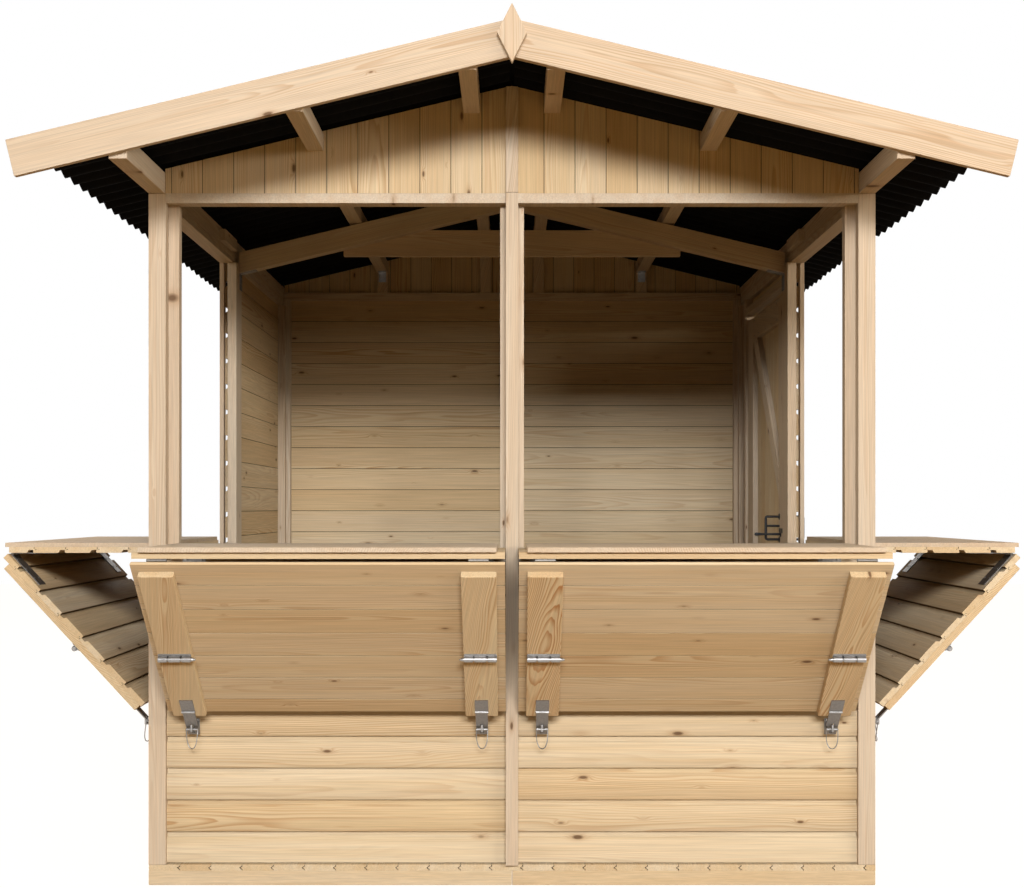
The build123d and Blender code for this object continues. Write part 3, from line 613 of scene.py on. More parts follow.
def grow(name, seed_mesh, tree, values):
    """The plain mesh that a tree makes from a seed mesh and its input values."""
    grower = bpy.data.objects.new(name, seed_mesh)
    bpy.context.scene.collection.objects.link(grower)
    modifier = grower.modifiers.new("tree", "NODES")
    modifier.node_group = tree
    for item in tree.interface.items_tree:
        if item.item_type == "SOCKET" and item.in_out == "INPUT" and item.name in values:
            modifier[item.identifier] = values[item.name]
    mesh = plain_mesh(grower)
    mesh.name = name
    return mesh


def outward_faces(mesh, sharp=35):
    """Faces turned outwards, smooth where they meet at less than the sharp angle."""
    shape = bmesh.new()
    shape.from_mesh(mesh)
    if shape.calc_volume(signed=True) < 0:
        bmesh.ops.reverse_faces(shape, faces=shape.faces[:])
    for face in shape.faces:
        face.smooth = True
    for edge in shape.edges:
        edge.smooth = (not edge.is_manifold
                       or edge.calc_face_angle(0) < math.radians(sharp))
    shape.to_mesh(mesh)
    shape.free()
    return mesh


# %% [markdown]
# ## Steps that the trees share
# The stall's trees share a few steps: an outline is drawn out into a body, skins are welded
# into a closed one, and a shape is copied to points. Attributes carry what a material needs
# to know from the tree to the mesh. Each step gets a short name, so a tree reads from top to
# bottom as a recipe.

# %% Steps of a tree
closing_distance = 0.01 * mm


def store(tree, geometry, label, value, kind, domain="POINT"):
    """A named attribute stored on a geometry."""
    return add(tree, "GeometryNodeStoreNamedAttribute",
               {"Name": label, "Geometry": geometry, "Value": value}, data_type=kind,
               domain=domain).outputs[0]


def stored(tree, label, kind):
    """A named attribute read back."""
    return add(tree, "GeometryNodeInputNamedAttribute", {"Name": label},
               data_type=kind).outputs["Attribute"]


def extruded(tree, mesh, offset, mode="FACES", **inputs):
    """The outputs of an Extrude Mesh node that draws a mesh one way."""
    inputs.update({"Mesh": mesh, "Offset": offset})
    if mode == "FACES":
        inputs["Individual"] = False
    return add(tree, "GeometryNodeExtrudeMesh", inputs, mode=mode).outputs


def moved(tree, geometry, **inputs):
    """A geometry whose points are set to a place or moved by an offset."""
    return add(tree, "GeometryNodeSetPosition", {"Geometry": geometry, **inputs}).outputs[0]


def flipped(tree, mesh):
    """A mesh turned inside out."""
    return add(tree, "GeometryNodeFlipFaces", {"Mesh": mesh}).outputs[0]


def instances(tree, points, shape):
    """A copy of a shape on each point."""
    return add(tree, "GeometryNodeInstanceOnPoints", {"Points": points,
                                                      "Instance": shape}).outputs[0]


def realised(tree, geometry):
    """Instances made real."""
    return add(tree, "GeometryNodeRealizeInstances", {"Geometry": geometry}).outputs[0]


def closed(tree, *skins):
    """One mesh from several skins, welded where their edges meet."""
    together = add(tree, "GeometryNodeJoinGeometry")
    for skin in skins:
        tree.links.new(skin, together.inputs[0])
    return add(tree, "GeometryNodeMergeByDistance",
               {"Geometry": together.outputs[0], "Distance": closing_distance}).outputs[0]


def position(tree):
    """The X, Y and Z of each point."""
    return add(tree, "ShaderNodeSeparateXYZ",
               {0: add(tree, "GeometryNodeInputPosition").outputs[0]}).outputs


def finish_tree(tree, geometry, material, out):
    """Set Material at the end of a tree."""
    painted = add(tree, "GeometryNodeSetMaterial", {"Geometry": geometry, "Material": material})
    tree.links.new(painted.outputs[0], out[0])


# %% The tree of boards
cut_edge = 0.1 * mm            # a panel's ripped edges are bare of a joint's dust and painted shade
trunk_from = (0, -75 * mm, 20 * mm)          # along the trunk, beside its pith and out from it
trunk_to = (trunk_length, 75 * mm, 100 * mm)

boards, given, result = new_tree("tongue and groove boards", {
    "Boards": 10, "Cover": board_cover, "Start": 0.0, "Width": 1.0, "Length": 1.0,
    "Slope": 0.0, "Seed": 1, "Warmth": 0.0, "Material": None})
start = xyz(boards, X=times(boards, given["Start"], -1.0))
row = add(boards, "GeometryNodeMeshLine", {
    "Count": given["Boards"], "Start Location": start,
    "Offset": xyz(boards, X=given["Cover"])}).outputs[0]
numbered = store(boards, instances(boards, row, given["Geometry"]), "board",
                 add(boards, "GeometryNodeInputIndex").outputs[0], "INT", "INSTANCE")
ends = realised(boards, numbered)
place = position(boards)
kept = add(boards, "ShaderNodeClamp", {"Value": place["X"], "Min": 0.0, "Max": given["Width"]})
ends = moved(boards, ends, Position=xyz(boards, X=kept.outputs[0], Y=place["Y"]))
drawn = extruded(boards, ends, xyz(boards, Z=given["Length"]))
ridge = times(boards, given["Width"], 0.5)
from_ridge = maths(boards, "ABSOLUTE", maths(boards, "SUBTRACT", place["X"], ridge))
drop = xyz(boards, Z=times(boards, from_ridge, given["Slope"], -1.0))
sloped = moved(boards, drawn["Mesh"], Selection=drawn["Top"], Offset=drop)
sloped = store(boards, sloped, "cap", drawn["Top"], "BOOLEAN", "FACE")
yes = add(boards, "FunctionNodeInputBool", boolean=True).outputs[0]
base = store(boards, flipped(boards, ends), "cap", yes, "BOOLEAN", "FACE")
panel = closed(boards, base, sloped)

number = stored(boards, "board", "INT")
trunk = add(boards, "FunctionNodeRandomValue", {
    0: trunk_from, 1: trunk_to, "ID": number, "Seed": given["Seed"]},
    data_type="FLOAT_VECTOR").outputs[0]
centre = times(boards, maths(boards, "ADD", number, 0.5), given["Cover"])
aside = maths(boards, "ADD", maths(boards, "SUBTRACT", place["X"], centre), given["Start"])
turned = xyz(boards, X=place["Z"], Y=aside, Z=place["Y"])
panel = store(boards, panel, "grain", vector_maths(boards, "ADD", turned, trunk),
              "FLOAT_VECTOR")
shade = add(boards, "FunctionNodeRandomValue", {
    "ID": number, "Seed": maths(boards, "ADD", given["Seed"], 100.0)}, data_type="FLOAT")
tone = maths(boards, "ADD", maths(boards, "POWER", shade.outputs[1], 1.6), given["Warmth"])
panel = store(boards, panel, "tone", tone, "FLOAT")
far_edge = maths(boards, "SUBTRACT", given["Width"], cut_edge)
uncut = times(boards, maths(boards, "GREATER_THAN", place["X"], cut_edge),
              maths(boards, "LESS_THAN", place["X"], far_edge))
# the joint attribute, which paints dust and shade in the joints, is cleared on the ripped edges
deep = times(boards, stored(boards, "joint", "FLOAT"), uncut)
finish_tree(boards, store(boards, panel, "joint", deep, "FLOAT"), given["Material"], result)
print("board tree:", len(boards.nodes), "nodes")

# %% [markdown]
# ## Laying the boards
# A panel is a slab of the CAD frame. Three directions say how its boards lie: across the
# boards, out of the scooped face, and along them. The slab's reach along each gives the
# panel's width and length and the corner that the tree's boards start from, so each panel is
# exactly as large as its slab. The lower end of a scoop is always the next board down, so
# water runs off, and on a folded counter or brace that turns with the hatch.

# %% Lay boards over a slab
up, down = Vector((0, 0, 1)), Vector((0, 0, -1))
front, rear = Vector((0, -1, 0)), Vector((0, 1, 0))
left, right = Vector((-1, 0, 0)), Vector((1, 0, 0))
panel_seeds = itertools.count(17, 17)
thinnest_board = 0.02          # of a board's cover: a narrower strip is left out


def lay_boards(name, slab, across, face, start=0.0, cover=board_cover, slope=0.0,
               end_shape=board_outline, warmth=0.0):
    """A panel of boards in place of a slab, as a mesh in its final place."""
    along = across.cross(face)
    (low_a, high_a), (low_f, high_f), (low_l, high_l) = (limits(slab, axis)
                                                         for axis in (across, face, along))
    outline = bmesh.new()
    joint = outline.verts.layers.float.new("joint")
    corners = []
    for x, y, depth in end_shape(cover):
        corners.append(outline.verts.new((x, y * (high_f - low_f) / board_thickness, 0)))
        corners[-1][joint] = depth
    outline.faces.new(corners)
    width = high_a - low_a
    mesh = grow(name, as_mesh(outline, "board end"), boards, {
        "Boards": math.ceil((width + start) / cover - thinnest_board), "Cover": cover,
        "Start": start, "Width": width, "Length": high_l - low_l, "Slope": slope,
        "Seed": next(panel_seeds), "Warmth": warmth, "Material": board_pine})
    corner = across * low_a + face * low_f + along * low_l
    turn = Matrix((across, face, along)).transposed().to_4x4()
    mesh.transform(Matrix.Translation(corner) @ turn)
    return outward_faces(mesh, 32)


def clad(node, meshes):
    """The boards of a node, in place of its slabs."""
    mesh = join_meshes(node + "_boards", meshes)
    return make_piece(mesh.name, mesh, board_pine, body_of(node), "pine_boards", node)


# %% Walls, floor, gables and door
walls = {"front_wall": (front, 0.0), "left_front_wall": (left, 0.0),
         "left_rear_wall": (left, 0.35), "right_wall_before_door": (right, 0.35),
         "right_wall_behind_door": (right, 0.35), "right_wall_over_door": (right, 0.0),
         "right_front_wall": (right, 0.0), "rear_wall_left": (rear, 0.3),
         "rear_wall_right": (rear, 0.3)}          # outward, and how much warmer
floor_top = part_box("floor")[1].z
for node, (outward, warmth) in walls.items():
    clad(node, [lay_boards(node, slab, up, outward,
                           (limits(slab, up)[0] - floor_top) % board_cover, warmth=warmth)
                for slab in solids_of(node)])

floor_cover = 85.8 * mm
clad("floor", [lay_boards("floor", slab, right, down, 0.0, floor_cover,
                          end_shape=floor_outline) for slab in solids_of("floor")])

gable_cover = 85.4 * mm
gable_warmth = 0.35
pitch_angle = math.radians(13.5)
for node in ("front_gable", "rear_gable"):
    slab = solids_of(node)[0]
    low, high = limits(slab, right)
    clad(node, [lay_boards(node, slab, right, rear, (low - high) / 2 % gable_cover,
                           gable_cover, math.tan(pitch_angle), warmth=gable_warmth)])

clad("door_leaf", [lay_boards("door_leaf", slab, front, right)
                   for slab in solids_of("door_leaf")])
print("clad:", len(walls), "walls, the floor, both gables and the door")

# %% [markdown]
# ## The folding hatches
# Each serving opening has a hatch in two leaves. The upper one folds out flat as the counter
# and the lower one folds back as its brace. The ironwork on them needs the same directions,
# so they are worked out once for each hatch: out from the wall, along it, up the brace, and
# out of the brace's clad face.

# %% Directions of the four hatches
Hatch = namedtuple("Hatch", "outward along up_brace clad_face middle head face")
side_reach = 0.97              # a hatch further out than this hangs on a side wall


def hatch_key(solid):
    """Which hatch a solid belongs to: its outward direction and its half of the stall."""
    place = middle_of(solid)
    outward = front if abs(place.x) <= side_reach else right if place.x > 0 else left
    return tuple(outward), place.x > 0


def hatch_of(brace):
    """The directions of a brace's hatch, and the brace's reach up and out along them."""
    outward = Vector(hatch_key(brace)[0])
    clad_face = max((f for f in brace.faces if f.normal.z > 0.3),
                    key=lambda face: round(face.calc_area(), 6)).normal.copy()
    along = up.cross(outward)
    up_brace = clad_face.cross(along) * (1 if clad_face.cross(along).z > 0 else -1)
    return Hatch(outward, along, up_brace, clad_face, middle_of(brace),
                 limits(brace, up_brace)[1], limits(brace, clad_face)[1])


braces = solids_of("brace_panels")
hatches = {hatch_key(brace): hatch_of(brace) for brace in braces}


def hatch_for(solid):
    """The hatch that a solid belongs to."""
    return hatches[hatch_key(solid)]


counter_first = 20.4 * mm       # the outermost counter board is ripped by this much
front_brace, side_brace = (38.5 * mm, 0.3), (11.5 * mm, 0.0)      # ripped by, warmth
clad("counter_panels", [lay_boards("counter", slab, -hatch_for(slab).outward, down,
                                   counter_first) for slab in solids_of("counter_panels")])
meshes = []
for slab in braces:
    hatch = hatch_for(slab)
    start, warmth = front_brace if hatch.outward == front else side_brace
    meshes.append(lay_boards("brace", slab, hatch.up_brace, hatch.clad_face, start,
                             warmth=warmth))
clad("brace_panels", meshes)
for key, hatch in hatches.items():
    print("hatch", key, "leans", round(math.degrees(hatch.up_brace.angle(up))), "degrees")

# %% [markdown]
# ## The corrugated roof
# Each side of the roof is covered by three bitumen fibre sheets, laid so that one wave laps
# over the next sheet. A wave is a rule, so a tree makes it: points in a row are lifted by a
# sine, the row is drawn down the slope into a sheet, and the sheet is drawn up by its
# thickness. The nails that hold such sheets go through the crests, over each purlin, and have
# broad caps that keep the rain out.

# %% The tree of a corrugated sheet
wave_pitch = 76 * mm
sheet_thickness = 3 * mm

waves, given, result = new_tree("corrugated sheet", {
    "Waves": 13, "Pitch": wave_pitch, "Rise": 12.4 * mm, "Length": 1.2,
    "Thickness": sheet_thickness, "Steps": 12, "Material": None})
steps = times(waves, given["Waves"], given["Steps"])
line = add(waves, "GeometryNodeMeshLine", {
    "Count": maths(waves, "ADD", steps, 1.0),
    "Offset": xyz(waves, Y=maths(waves, "DIVIDE", given["Pitch"], given["Steps"]))}).outputs[0]
turn = maths(waves, "DIVIDE", position(waves)["Y"], given["Pitch"])
lift = times(waves, given["Rise"], maths(waves, "SINE", times(waves, turn, 2 * math.pi)))
line = moved(waves, line, Offset=xyz(waves, Z=lift))
skin = extruded(waves, line, xyz(waves, X=given["Length"]), "EDGES")[0]
upper = extruded(waves, skin, xyz(waves, Z=given["Thickness"]))[0]
sheet = realised(waves, closed(waves, upper, flipped(waves, skin)))
finish_tree(waves, sheet, given["Material"], result)
print("sheet tree:", len(waves.nodes), "nodes")


# %% Lay the sheets
sheets_a_side, lapped_waves = 3, 1
lap_rise = sheet_thickness + 0.2 * mm
slopes = []
for name, side in (("left", -1), ("right", 1)):
    node = f"roof_sheet_{name}"
    shape = merged(node)
    slope_down = Vector((side * math.cos(pitch_angle), 0, -math.sin(pitch_angle)))
    roof_normal = Vector((side * math.sin(pitch_angle), 0, math.cos(pitch_angle)))
    along_ridge = roof_normal.cross(slope_down)
    (low_s, high_s), (low_n, high_n), (low_r, high_r) = (
        limits(shape, axis) for axis in (slope_down, roof_normal, along_ridge))
    shape.free()
    rise = (high_n - low_n - sheet_thickness) / 2
    all_waves = round((high_r - low_r) / wave_pitch)
    plain_waves = all_waves // sheets_a_side
    turn = Matrix((slope_down, along_ridge, roof_normal)).transposed().to_4x4()
    meshes = []
    for index in range(sheets_a_side):
        extra = lapped_waves if index < sheets_a_side - 1 else 0
        mesh = grow("sheet", bpy.data.meshes.new("empty"), waves, {
            "Waves": plain_waves + extra, "Rise": rise, "Length": high_s - low_s,
            "Material": bitumen})
        corner = (slope_down * low_s + roof_normal * (low_n + rise + lap_rise * (index % 2))
                  + along_ridge * (low_r + index * plain_waves * wave_pitch))
        mesh.transform(Matrix.Translation(corner) @ turn)
        meshes.append(outward_faces(mesh, 50))
    make_piece(node + "_waves", join_meshes(node + "_waves", meshes), bitumen, "stall",
               "bitumen", node)
    slopes.append((slope_down, roof_normal, along_ridge, low_r, high_n))
print("roof sheets:", 2 * sheets_a_side, "of", plain_waves, "waves")

# %% [markdown]
# ## Screws and nails
# A screw's head is small, and there are hundreds, so it is made once in a tree, with a few
# dozen faces, and set on points. It is drawn up from a disc: a low rim, a dome in two steps,
# then in and down for the driver's recess. All the screws of one face point the same way, so
# each group is laid flat and turned into place as a whole.

# %% The tree of round heads
heads, given, result = new_tree("round heads", {
    "Radius": 3.5 * mm, "Height": 1.4 * mm, "Recess": 0.9 * mm, "Sides": 10, "Material": None})
shape = add(heads, "GeometryNodeMeshCircle", {"Vertices": given["Sides"],
                                              "Radius": given["Radius"]}, fill_type="NGON")
shape, top = shape.outputs[0], {}
for source, share, narrowing in (("Height", 0.35, 1.0), ("Height", 0.4, 0.82),
                                 ("Height", 0.25, 0.62), ("Recess", 0.0, 0.72),
                                 ("Recess", -1.0, 0.85)):
    drawn = extruded(heads, shape, xyz(heads, Z=times(heads, given[source], share)), **top)
    top = {"Selection": drawn["Top"]}
    shape = add(heads, "GeometryNodeScaleElements",
                {"Geometry": drawn["Mesh"], "Scale": narrowing, **top}).outputs[0]
placed = realised(heads, instances(heads, given["Geometry"], shape))
finish_tree(heads, placed, given["Material"], result)
print("head tree:", len(heads.nodes), "nodes")


def head_mesh(name, points, facing, material, radius=3.5 * mm, height=1.4 * mm,
              recess=0.9 * mm, sides=10):
    """Round heads at points, facing one way. The mesh is in its final place."""
    turn = facing.to_track_quat("Z", "X").to_matrix()
    seeds = bpy.data.meshes.new("points")
    seeds.from_pydata([turn.transposed() @ Vector(point) for point in points], [], [])
    mesh = grow(name, seeds, heads, {"Radius": radius, "Height": height, "Recess": recess,
                                     "Sides": sides, "Material": material})
    mesh.transform(turn.to_4x4())
    return outward_faces(mesh, 40)


# %% Nails of the roof sheets
cap_radius, cap_height, cap_sunk = 9 * mm, 6 * mm, 0.4 * mm
crest_dip = 3.4 * mm           # how far a cap's rim reaches down round its crest


def down_the_slope(level, out):
    """How far down the slope a line on the roof is, from its distance to the middle."""
    height = (level - out * math.sin(pitch_angle)) / math.cos(pitch_angle)
    return out * math.cos(pitch_angle) - height * math.sin(pitch_angle)


def purlin_line(name):
    """How far out from the middle a pair of purlins runs."""
    return abs(middle_of(solids_of(name)[0]).x)


ridge_cap = merged("ridge_cap")
middle_sheet = range(plain_waves, 2 * plain_waves + lapped_waves)
roof_caps = []
for slope_down, roof_normal, along_ridge, start, crest_top in slopes:
    caps = []
    for purlins, every in (("ridge_purlins", 3), ("mid_purlins", 2), ("eave_purlins", 2)):
        out = purlin_line(purlins)
        for crest in range(1, all_waves, every):
            if purlins == "ridge_purlins":
                level = limits(ridge_cap, roof_normal)[1]
            else:
                level = crest_top - crest_dip + (lap_rise if crest in middle_sheet else 0)
            caps.append(slope_down * down_the_slope(level, out)
                        + roof_normal * (level - cap_sunk)
                        + along_ridge * (start + (crest + 0.25) * wave_pitch))
    roof_caps.append(head_mesh("caps", caps, roof_normal, bitumen, cap_radius, cap_height,
                               0.2 * mm, 12))
ridge_cap.free()
mesh = join_meshes("roof_nail_caps", roof_caps)
make_piece("roof_nail_caps", mesh, bitumen, "stall", "bitumen")
cap_node = nodes["ridge_cap"]
cap_node.data.materials.clear()
cap_node.data.materials.append(bitumen)
print("nail caps:", len(mesh.polygons), "faces")

# %% [markdown]
# ## Ironwork
# The flat plates, brackets and straps already have their real shape in the CAD frame. They
# get a small radius on their edges and smooth round parts. Their screws are set from the size
# of each plate. Parts that the frame holds only as plain cylinders are turned on a lathe or
# bent from wire: the hatch bolts, hinge knuckles, linchpins, and the door's pull and lever.

# %% Plates from the frame
plate_edge = 0.4 * mm


def round_sharp_edges(shape, width):
    """A small radius on the edges that are sharp, which leaves round parts alone."""
    round_edges(shape, [e for e in shape.edges if e.calc_face_angle(0) > math.radians(40)],
                width)


def finish_plates(node, material):
    """A node's plates with rounded edges and smooth round parts."""
    solids = solids_of(node)
    for solid in solids:
        round_sharp_edges(solid, plate_edge)
    mesh = join_meshes(node + "_iron", [as_mesh(solid, "plate") for solid in solids])
    return make_piece(mesh.name, outward_faces(mesh), material, body_of(node), "zinc_steel",
                      node)


for node, material in (("wall_hinges", zinc), ("brace_hinges", dull_zinc),
                       ("foot_straps", dull_zinc), ("eye_plates", zinc),
                       ("truss_brackets", dull_zinc), ("gable_brackets", zinc),
                       ("door_straps", zinc), ("door_hinge_plates", zinc)):
    finish_plates(node, material)
print("plates finished, with edges rounded by", plate_edge / mm, "mm")

# %% Turned and bent parts


def lathe(profile, sides=20):
    """A turned body along x: each row of the profile is a place and a radius."""
    shape = bmesh.new()
    rings = []
    for x, radius in profile:
        rings.append([shape.verts.new((x, radius * math.cos(t), radius * math.sin(t)))
                      for t in np.linspace(0, 2 * math.pi, sides, endpoint=False)])
    for near, far in zip(rings, rings[1:]):
        for i in range(sides):
            shape.faces.new((near[i - 1], near[i], far[i], far[i - 1]))
    for ring in (rings[0], rings[-1]):
        shape.faces.new(ring)
    bmesh.ops.recalc_face_normals(shape, faces=shape.faces)
    return outward_faces(as_mesh(shape, "turned"), 40)


def slab_mesh(low, high, edge=plate_edge, corner=0.0):
    """A flat plate between two corners, with eased edges and rounded upright corners."""
    shape = bmesh.new()
    bmesh.ops.create_cube(shape, size=1)
    for point in shape.verts:
        point.co = Vector([low[i] if point.co[i] < 0 else high[i] for i in range(3)])
    if corner:
        uprights = [e for e in shape.edges if e.verts[0].co.z != e.verts[1].co.z]
        round_edges(shape, uprights, corner, 4)
    round_sharp_edges(shape, edge)
    return outward_faces(as_mesh(shape, "plate"))


def rod(points, radius, sides=10):
    """Round wire or bar bent smoothly through points."""
    line = bpy.data.curves.new("rod", "CURVE")
    line.dimensions = "3D"
    line.bevel_depth = radius
    line.bevel_resolution = max(1, sides // 4 - 1)
    line.use_fill_caps = True
    spline = line.splines.new("NURBS")
    spline.points.add(len(points) - 1)
    for point, place in zip(spline.points, points):
        point.co = (*place, 1)
    spline.order_u = 3
    spline.use_endpoint_u = True
    spline.resolution_u = 6
    bender = bpy.data.objects.new("rod", line)
    bpy.context.scene.collection.objects.link(bender)
    shape = bmesh.new()
    shape.from_mesh(plain_mesh(bender))
    bmesh.ops.remove_doubles(shape, verts=shape.verts, dist=closing_distance)
    bmesh.ops.recalc_face_normals(shape, faces=shape.faces)
    return outward_faces(as_mesh(shape, "rod"), 60)


def frame_at(origin, x_way, y_way):
    """A matrix that carries a part drawn at the origin to its place on the stall."""
    x_way, y_way = x_way.normalized(), y_way.normalized()
    turn = Matrix((x_way, y_way, x_way.cross(y_way))).transposed().to_4x4()
    return Matrix.Translation(origin) @ turn


def set_out(meshes, place):
    """Copies of some meshes carried to a place."""
    copies = []
    for mesh in meshes:
        copy = mesh.copy()
        copy.transform(place)
        copies.append(copy)
    return copies


def grid(corner, one_way, steps, other_way, other_steps):
    """Points in rows, at steps along two directions from a corner."""
    return [corner + one_way * step + other_way * other for step in steps
            for other in other_steps]


def band(start, end, edge):
    """The profile of a raised band, from its edge: how far in, and the radius there."""
    return ([(start + inset, radius) for inset, radius in edge]
            + [(end - inset, radius) for inset, radius in reversed(edge)])


def assemble(name, meshes, material, body, *replaced):
    """A piece of ironwork from several meshes."""
    return make_piece(name, join_meshes(name, meshes), material, body, "zinc_steel", *replaced)


# %% [markdown]
# ## Hatch bolts
# A barrel bolt holds each hatch shut. Its rod slides in three straps that are pressed up from
# the plate, so from the front it shows a bright barrel cut by two dark gaps. Its tapered tip
# points to the middle of the hatch.

# %% Turn the bolts
bolt_length, bolt_width, bolt_plate = 86 * mm, 28 * mm, 2 * mm
strap_radius, rod_radius = 7.5 * mm, 5.0 * mm
strap_ends = ((0.5 * mm, 24 * mm), (28 * mm, 58 * mm), (62 * mm, 85.5 * mm))
strap_edge = ((0, rod_radius), (0, strap_radius - 0.5 * mm), (0.5 * mm, strap_radius))
bolt_tip = ((1, 5.0), (5, 4.4), (9, 3.1), (11.2, 1.9), (11.9, 0.7))      # mm past the plate

bolt_profile = [(0, rod_radius)]
for start, end in strap_ends:
    bolt_profile += band(start, end, strap_edge)
bolt_profile += [(bolt_length + past * mm, radius * mm) for past, radius in bolt_tip]
barrel = lathe(bolt_profile)
barrel.transform(Matrix.Translation((0, 0, strap_radius)))
plate = slab_mesh((0, -bolt_width / 2, 0), (bolt_length, bolt_width / 2, bolt_plate),
                  corner=3 * mm)
seats = [slab_mesh((start, -strap_radius, 1 * mm), (end, strap_radius, strap_radius),
                   edge=0.3 * mm) for start, end in strap_ends]

bolts = []
for solid in solids_of("hatch_bolts"):
    hatch = hatch_for(solid)
    along, inward = hatch.along, -hatch.clad_face
    if (hatch.middle - middle_of(solid)).dot(along) < 0:
        along = -along
    origin = (along * limits(solid, along)[0] + inward * limits(solid, inward)[0]
              + hatch.up_brace * sum(limits(solid, hatch.up_brace)) / 2)
    place = frame_at(origin, along, inward.cross(along))
    bolts += set_out([barrel, plate] + seats, place)
    holes = grid(up * bolt_plate, right, (5 * mm, bolt_length - 5 * mm),
                 rear, (-10.3 * mm, 10.3 * mm))
    bolts.append(head_mesh("bolt screws", [place @ hole for hole in holes], inward, zinc,
                           radius=2.6 * mm, height=1.0 * mm, recess=0.6 * mm))
assemble("hatch_bolts_turned", bolts, zinc, "stall", "hatch_bolts")
print("bolts:", len(solids_of("hatch_bolts")))

# %% [markdown]
# ## Linchpins
# Each hatch stands on two lugs, and a linchpin through each lug keeps it there. The pin is a
# plain turned rod with a sprung wire bail. A hanging bail is never quite square to its pin, so
# it twists a little towards its lower end.

# %% Bend the linchpins
pin_radius, wire_radius = 3 * mm, 1.4 * mm
bail_half, bail_drop = 16 * mm, 53 * mm
bail_twist = math.radians(30)
bail_outline = ((1.0, 0.02), (0.99, -0.3), (0.92, -0.66), (0.62, -0.92), (0.22, -1.0))
bail_points = []
for wide, deep in bail_outline + tuple((-w, d) for w, d in reversed(bail_outline)):
    twist = bail_twist * -deep
    bail_points.append((wide * bail_half * math.cos(twist), deep * bail_drop,
                        wide * bail_half * math.sin(twist)))
pin = lathe([(-17 * mm, 1.6 * mm), (-15.6 * mm, pin_radius), (15.6 * mm, pin_radius),
             (17 * mm, 1.6 * mm)], 16)
collar = lathe([(-15 * mm, 3.1 * mm), (-14.8 * mm, 4.4 * mm), (-11.2 * mm, 4.4 * mm),
                (-11 * mm, 3.1 * mm)], 16)
bail = rod(bail_points, wire_radius)
linchpins = []
for solid in solids_of("linchpins"):
    place = middle_of(solid)
    origin = Vector((place.x, place.y, limits(solid, up)[1] - pin_radius))
    linchpins += set_out([pin, collar, bail], frame_at(origin, hatch_for(solid).along, up))
assemble("linchpins_bent", linchpins, zinc, "stall", "linchpins")
print("linchpins:", len(linchpins) // 3)

# %% [markdown]
# ## Knuckles and screws of the hatch hinges
# A hinge's two leaves are rolled round one pin in turn, so its knuckle shows as five short
# sleeves. The screws lie in rows down the leaves.

# %% Sleeves on the brace hinges
knuckle_radius, hinge_width, leaf = 4.0 * mm, 50 * mm, 2.5 * mm
hinge_edge = ((0, 3.8 * mm), (0, 4.1 * mm), (0.2 * mm, 4.3 * mm))
leaf_rows = (24 * mm, 60 * mm, 96 * mm)        # from the knuckle's side


def sleeve_row(count, width, gap, edge):
    """Short sleeves in a row, each with the same rounded edges."""
    profile = []
    for index in range(count):
        start = -width / 2 + index * width / count + gap / 2
        profile += band(start, start + width / count - gap, edge)
    return lathe(profile, 16)


sleeves = sleeve_row(5, hinge_width, 0.7 * mm, hinge_edge)
knuckles, hinge_screws = [], []
for solid in solids_of("brace_hinges"):
    hatch = hatch_for(solid)
    seat = hatch.along * middle_of(solid).dot(hatch.along)
    top, out = limits(solid, up)[1], limits(solid, hatch.outward)[1]
    centre = seat + hatch.outward * (out - knuckle_radius) + up * (top - knuckle_radius)
    knuckles += set_out([sleeves], frame_at(centre, hatch.along, hatch.outward))
    for corner, away, facing in (
            (hatch.up_brace * hatch.head + hatch.clad_face * (hatch.face + leaf),
             -hatch.up_brace, hatch.clad_face),
            (hatch.outward * out + up * (top - leaf), -hatch.outward, down)):
        rows = grid(seat + corner, hatch.along, (-16 * mm, 16 * mm), away, leaf_rows)
        hinge_screws.append(head_mesh("screws", rows, facing, dull_zinc))
assemble("brace_hinge_knuckles", knuckles, dull_zinc, "stall")
print("brace hinges:", len(knuckles))

# %% Screws of the wall hinges
for solid in solids_of("wall_hinges"):
    hatch = hatch_for(solid)
    seat = hatch.along * middle_of(solid).dot(hatch.along)
    near, far = limits(solid, hatch.outward)
    low, high = limits(solid, up)
    for corner, steps, facing in (
            (hatch.outward * (far - 11 * mm) + up * (high - leaf), (-21 * mm, 0, 21 * mm), down),
            (hatch.outward * (near + leaf) + up * (low + 10 * mm), (-21 * mm, 21 * mm),
             hatch.outward)):
        rows = [seat + corner + hatch.along * step for step in steps]
        hinge_screws.append(head_mesh("screws", rows, facing, zinc))
assemble("hatch_hinge_screws", hinge_screws, zinc, "stall")
print("hinge screws set on", len(hinge_screws), "faces")

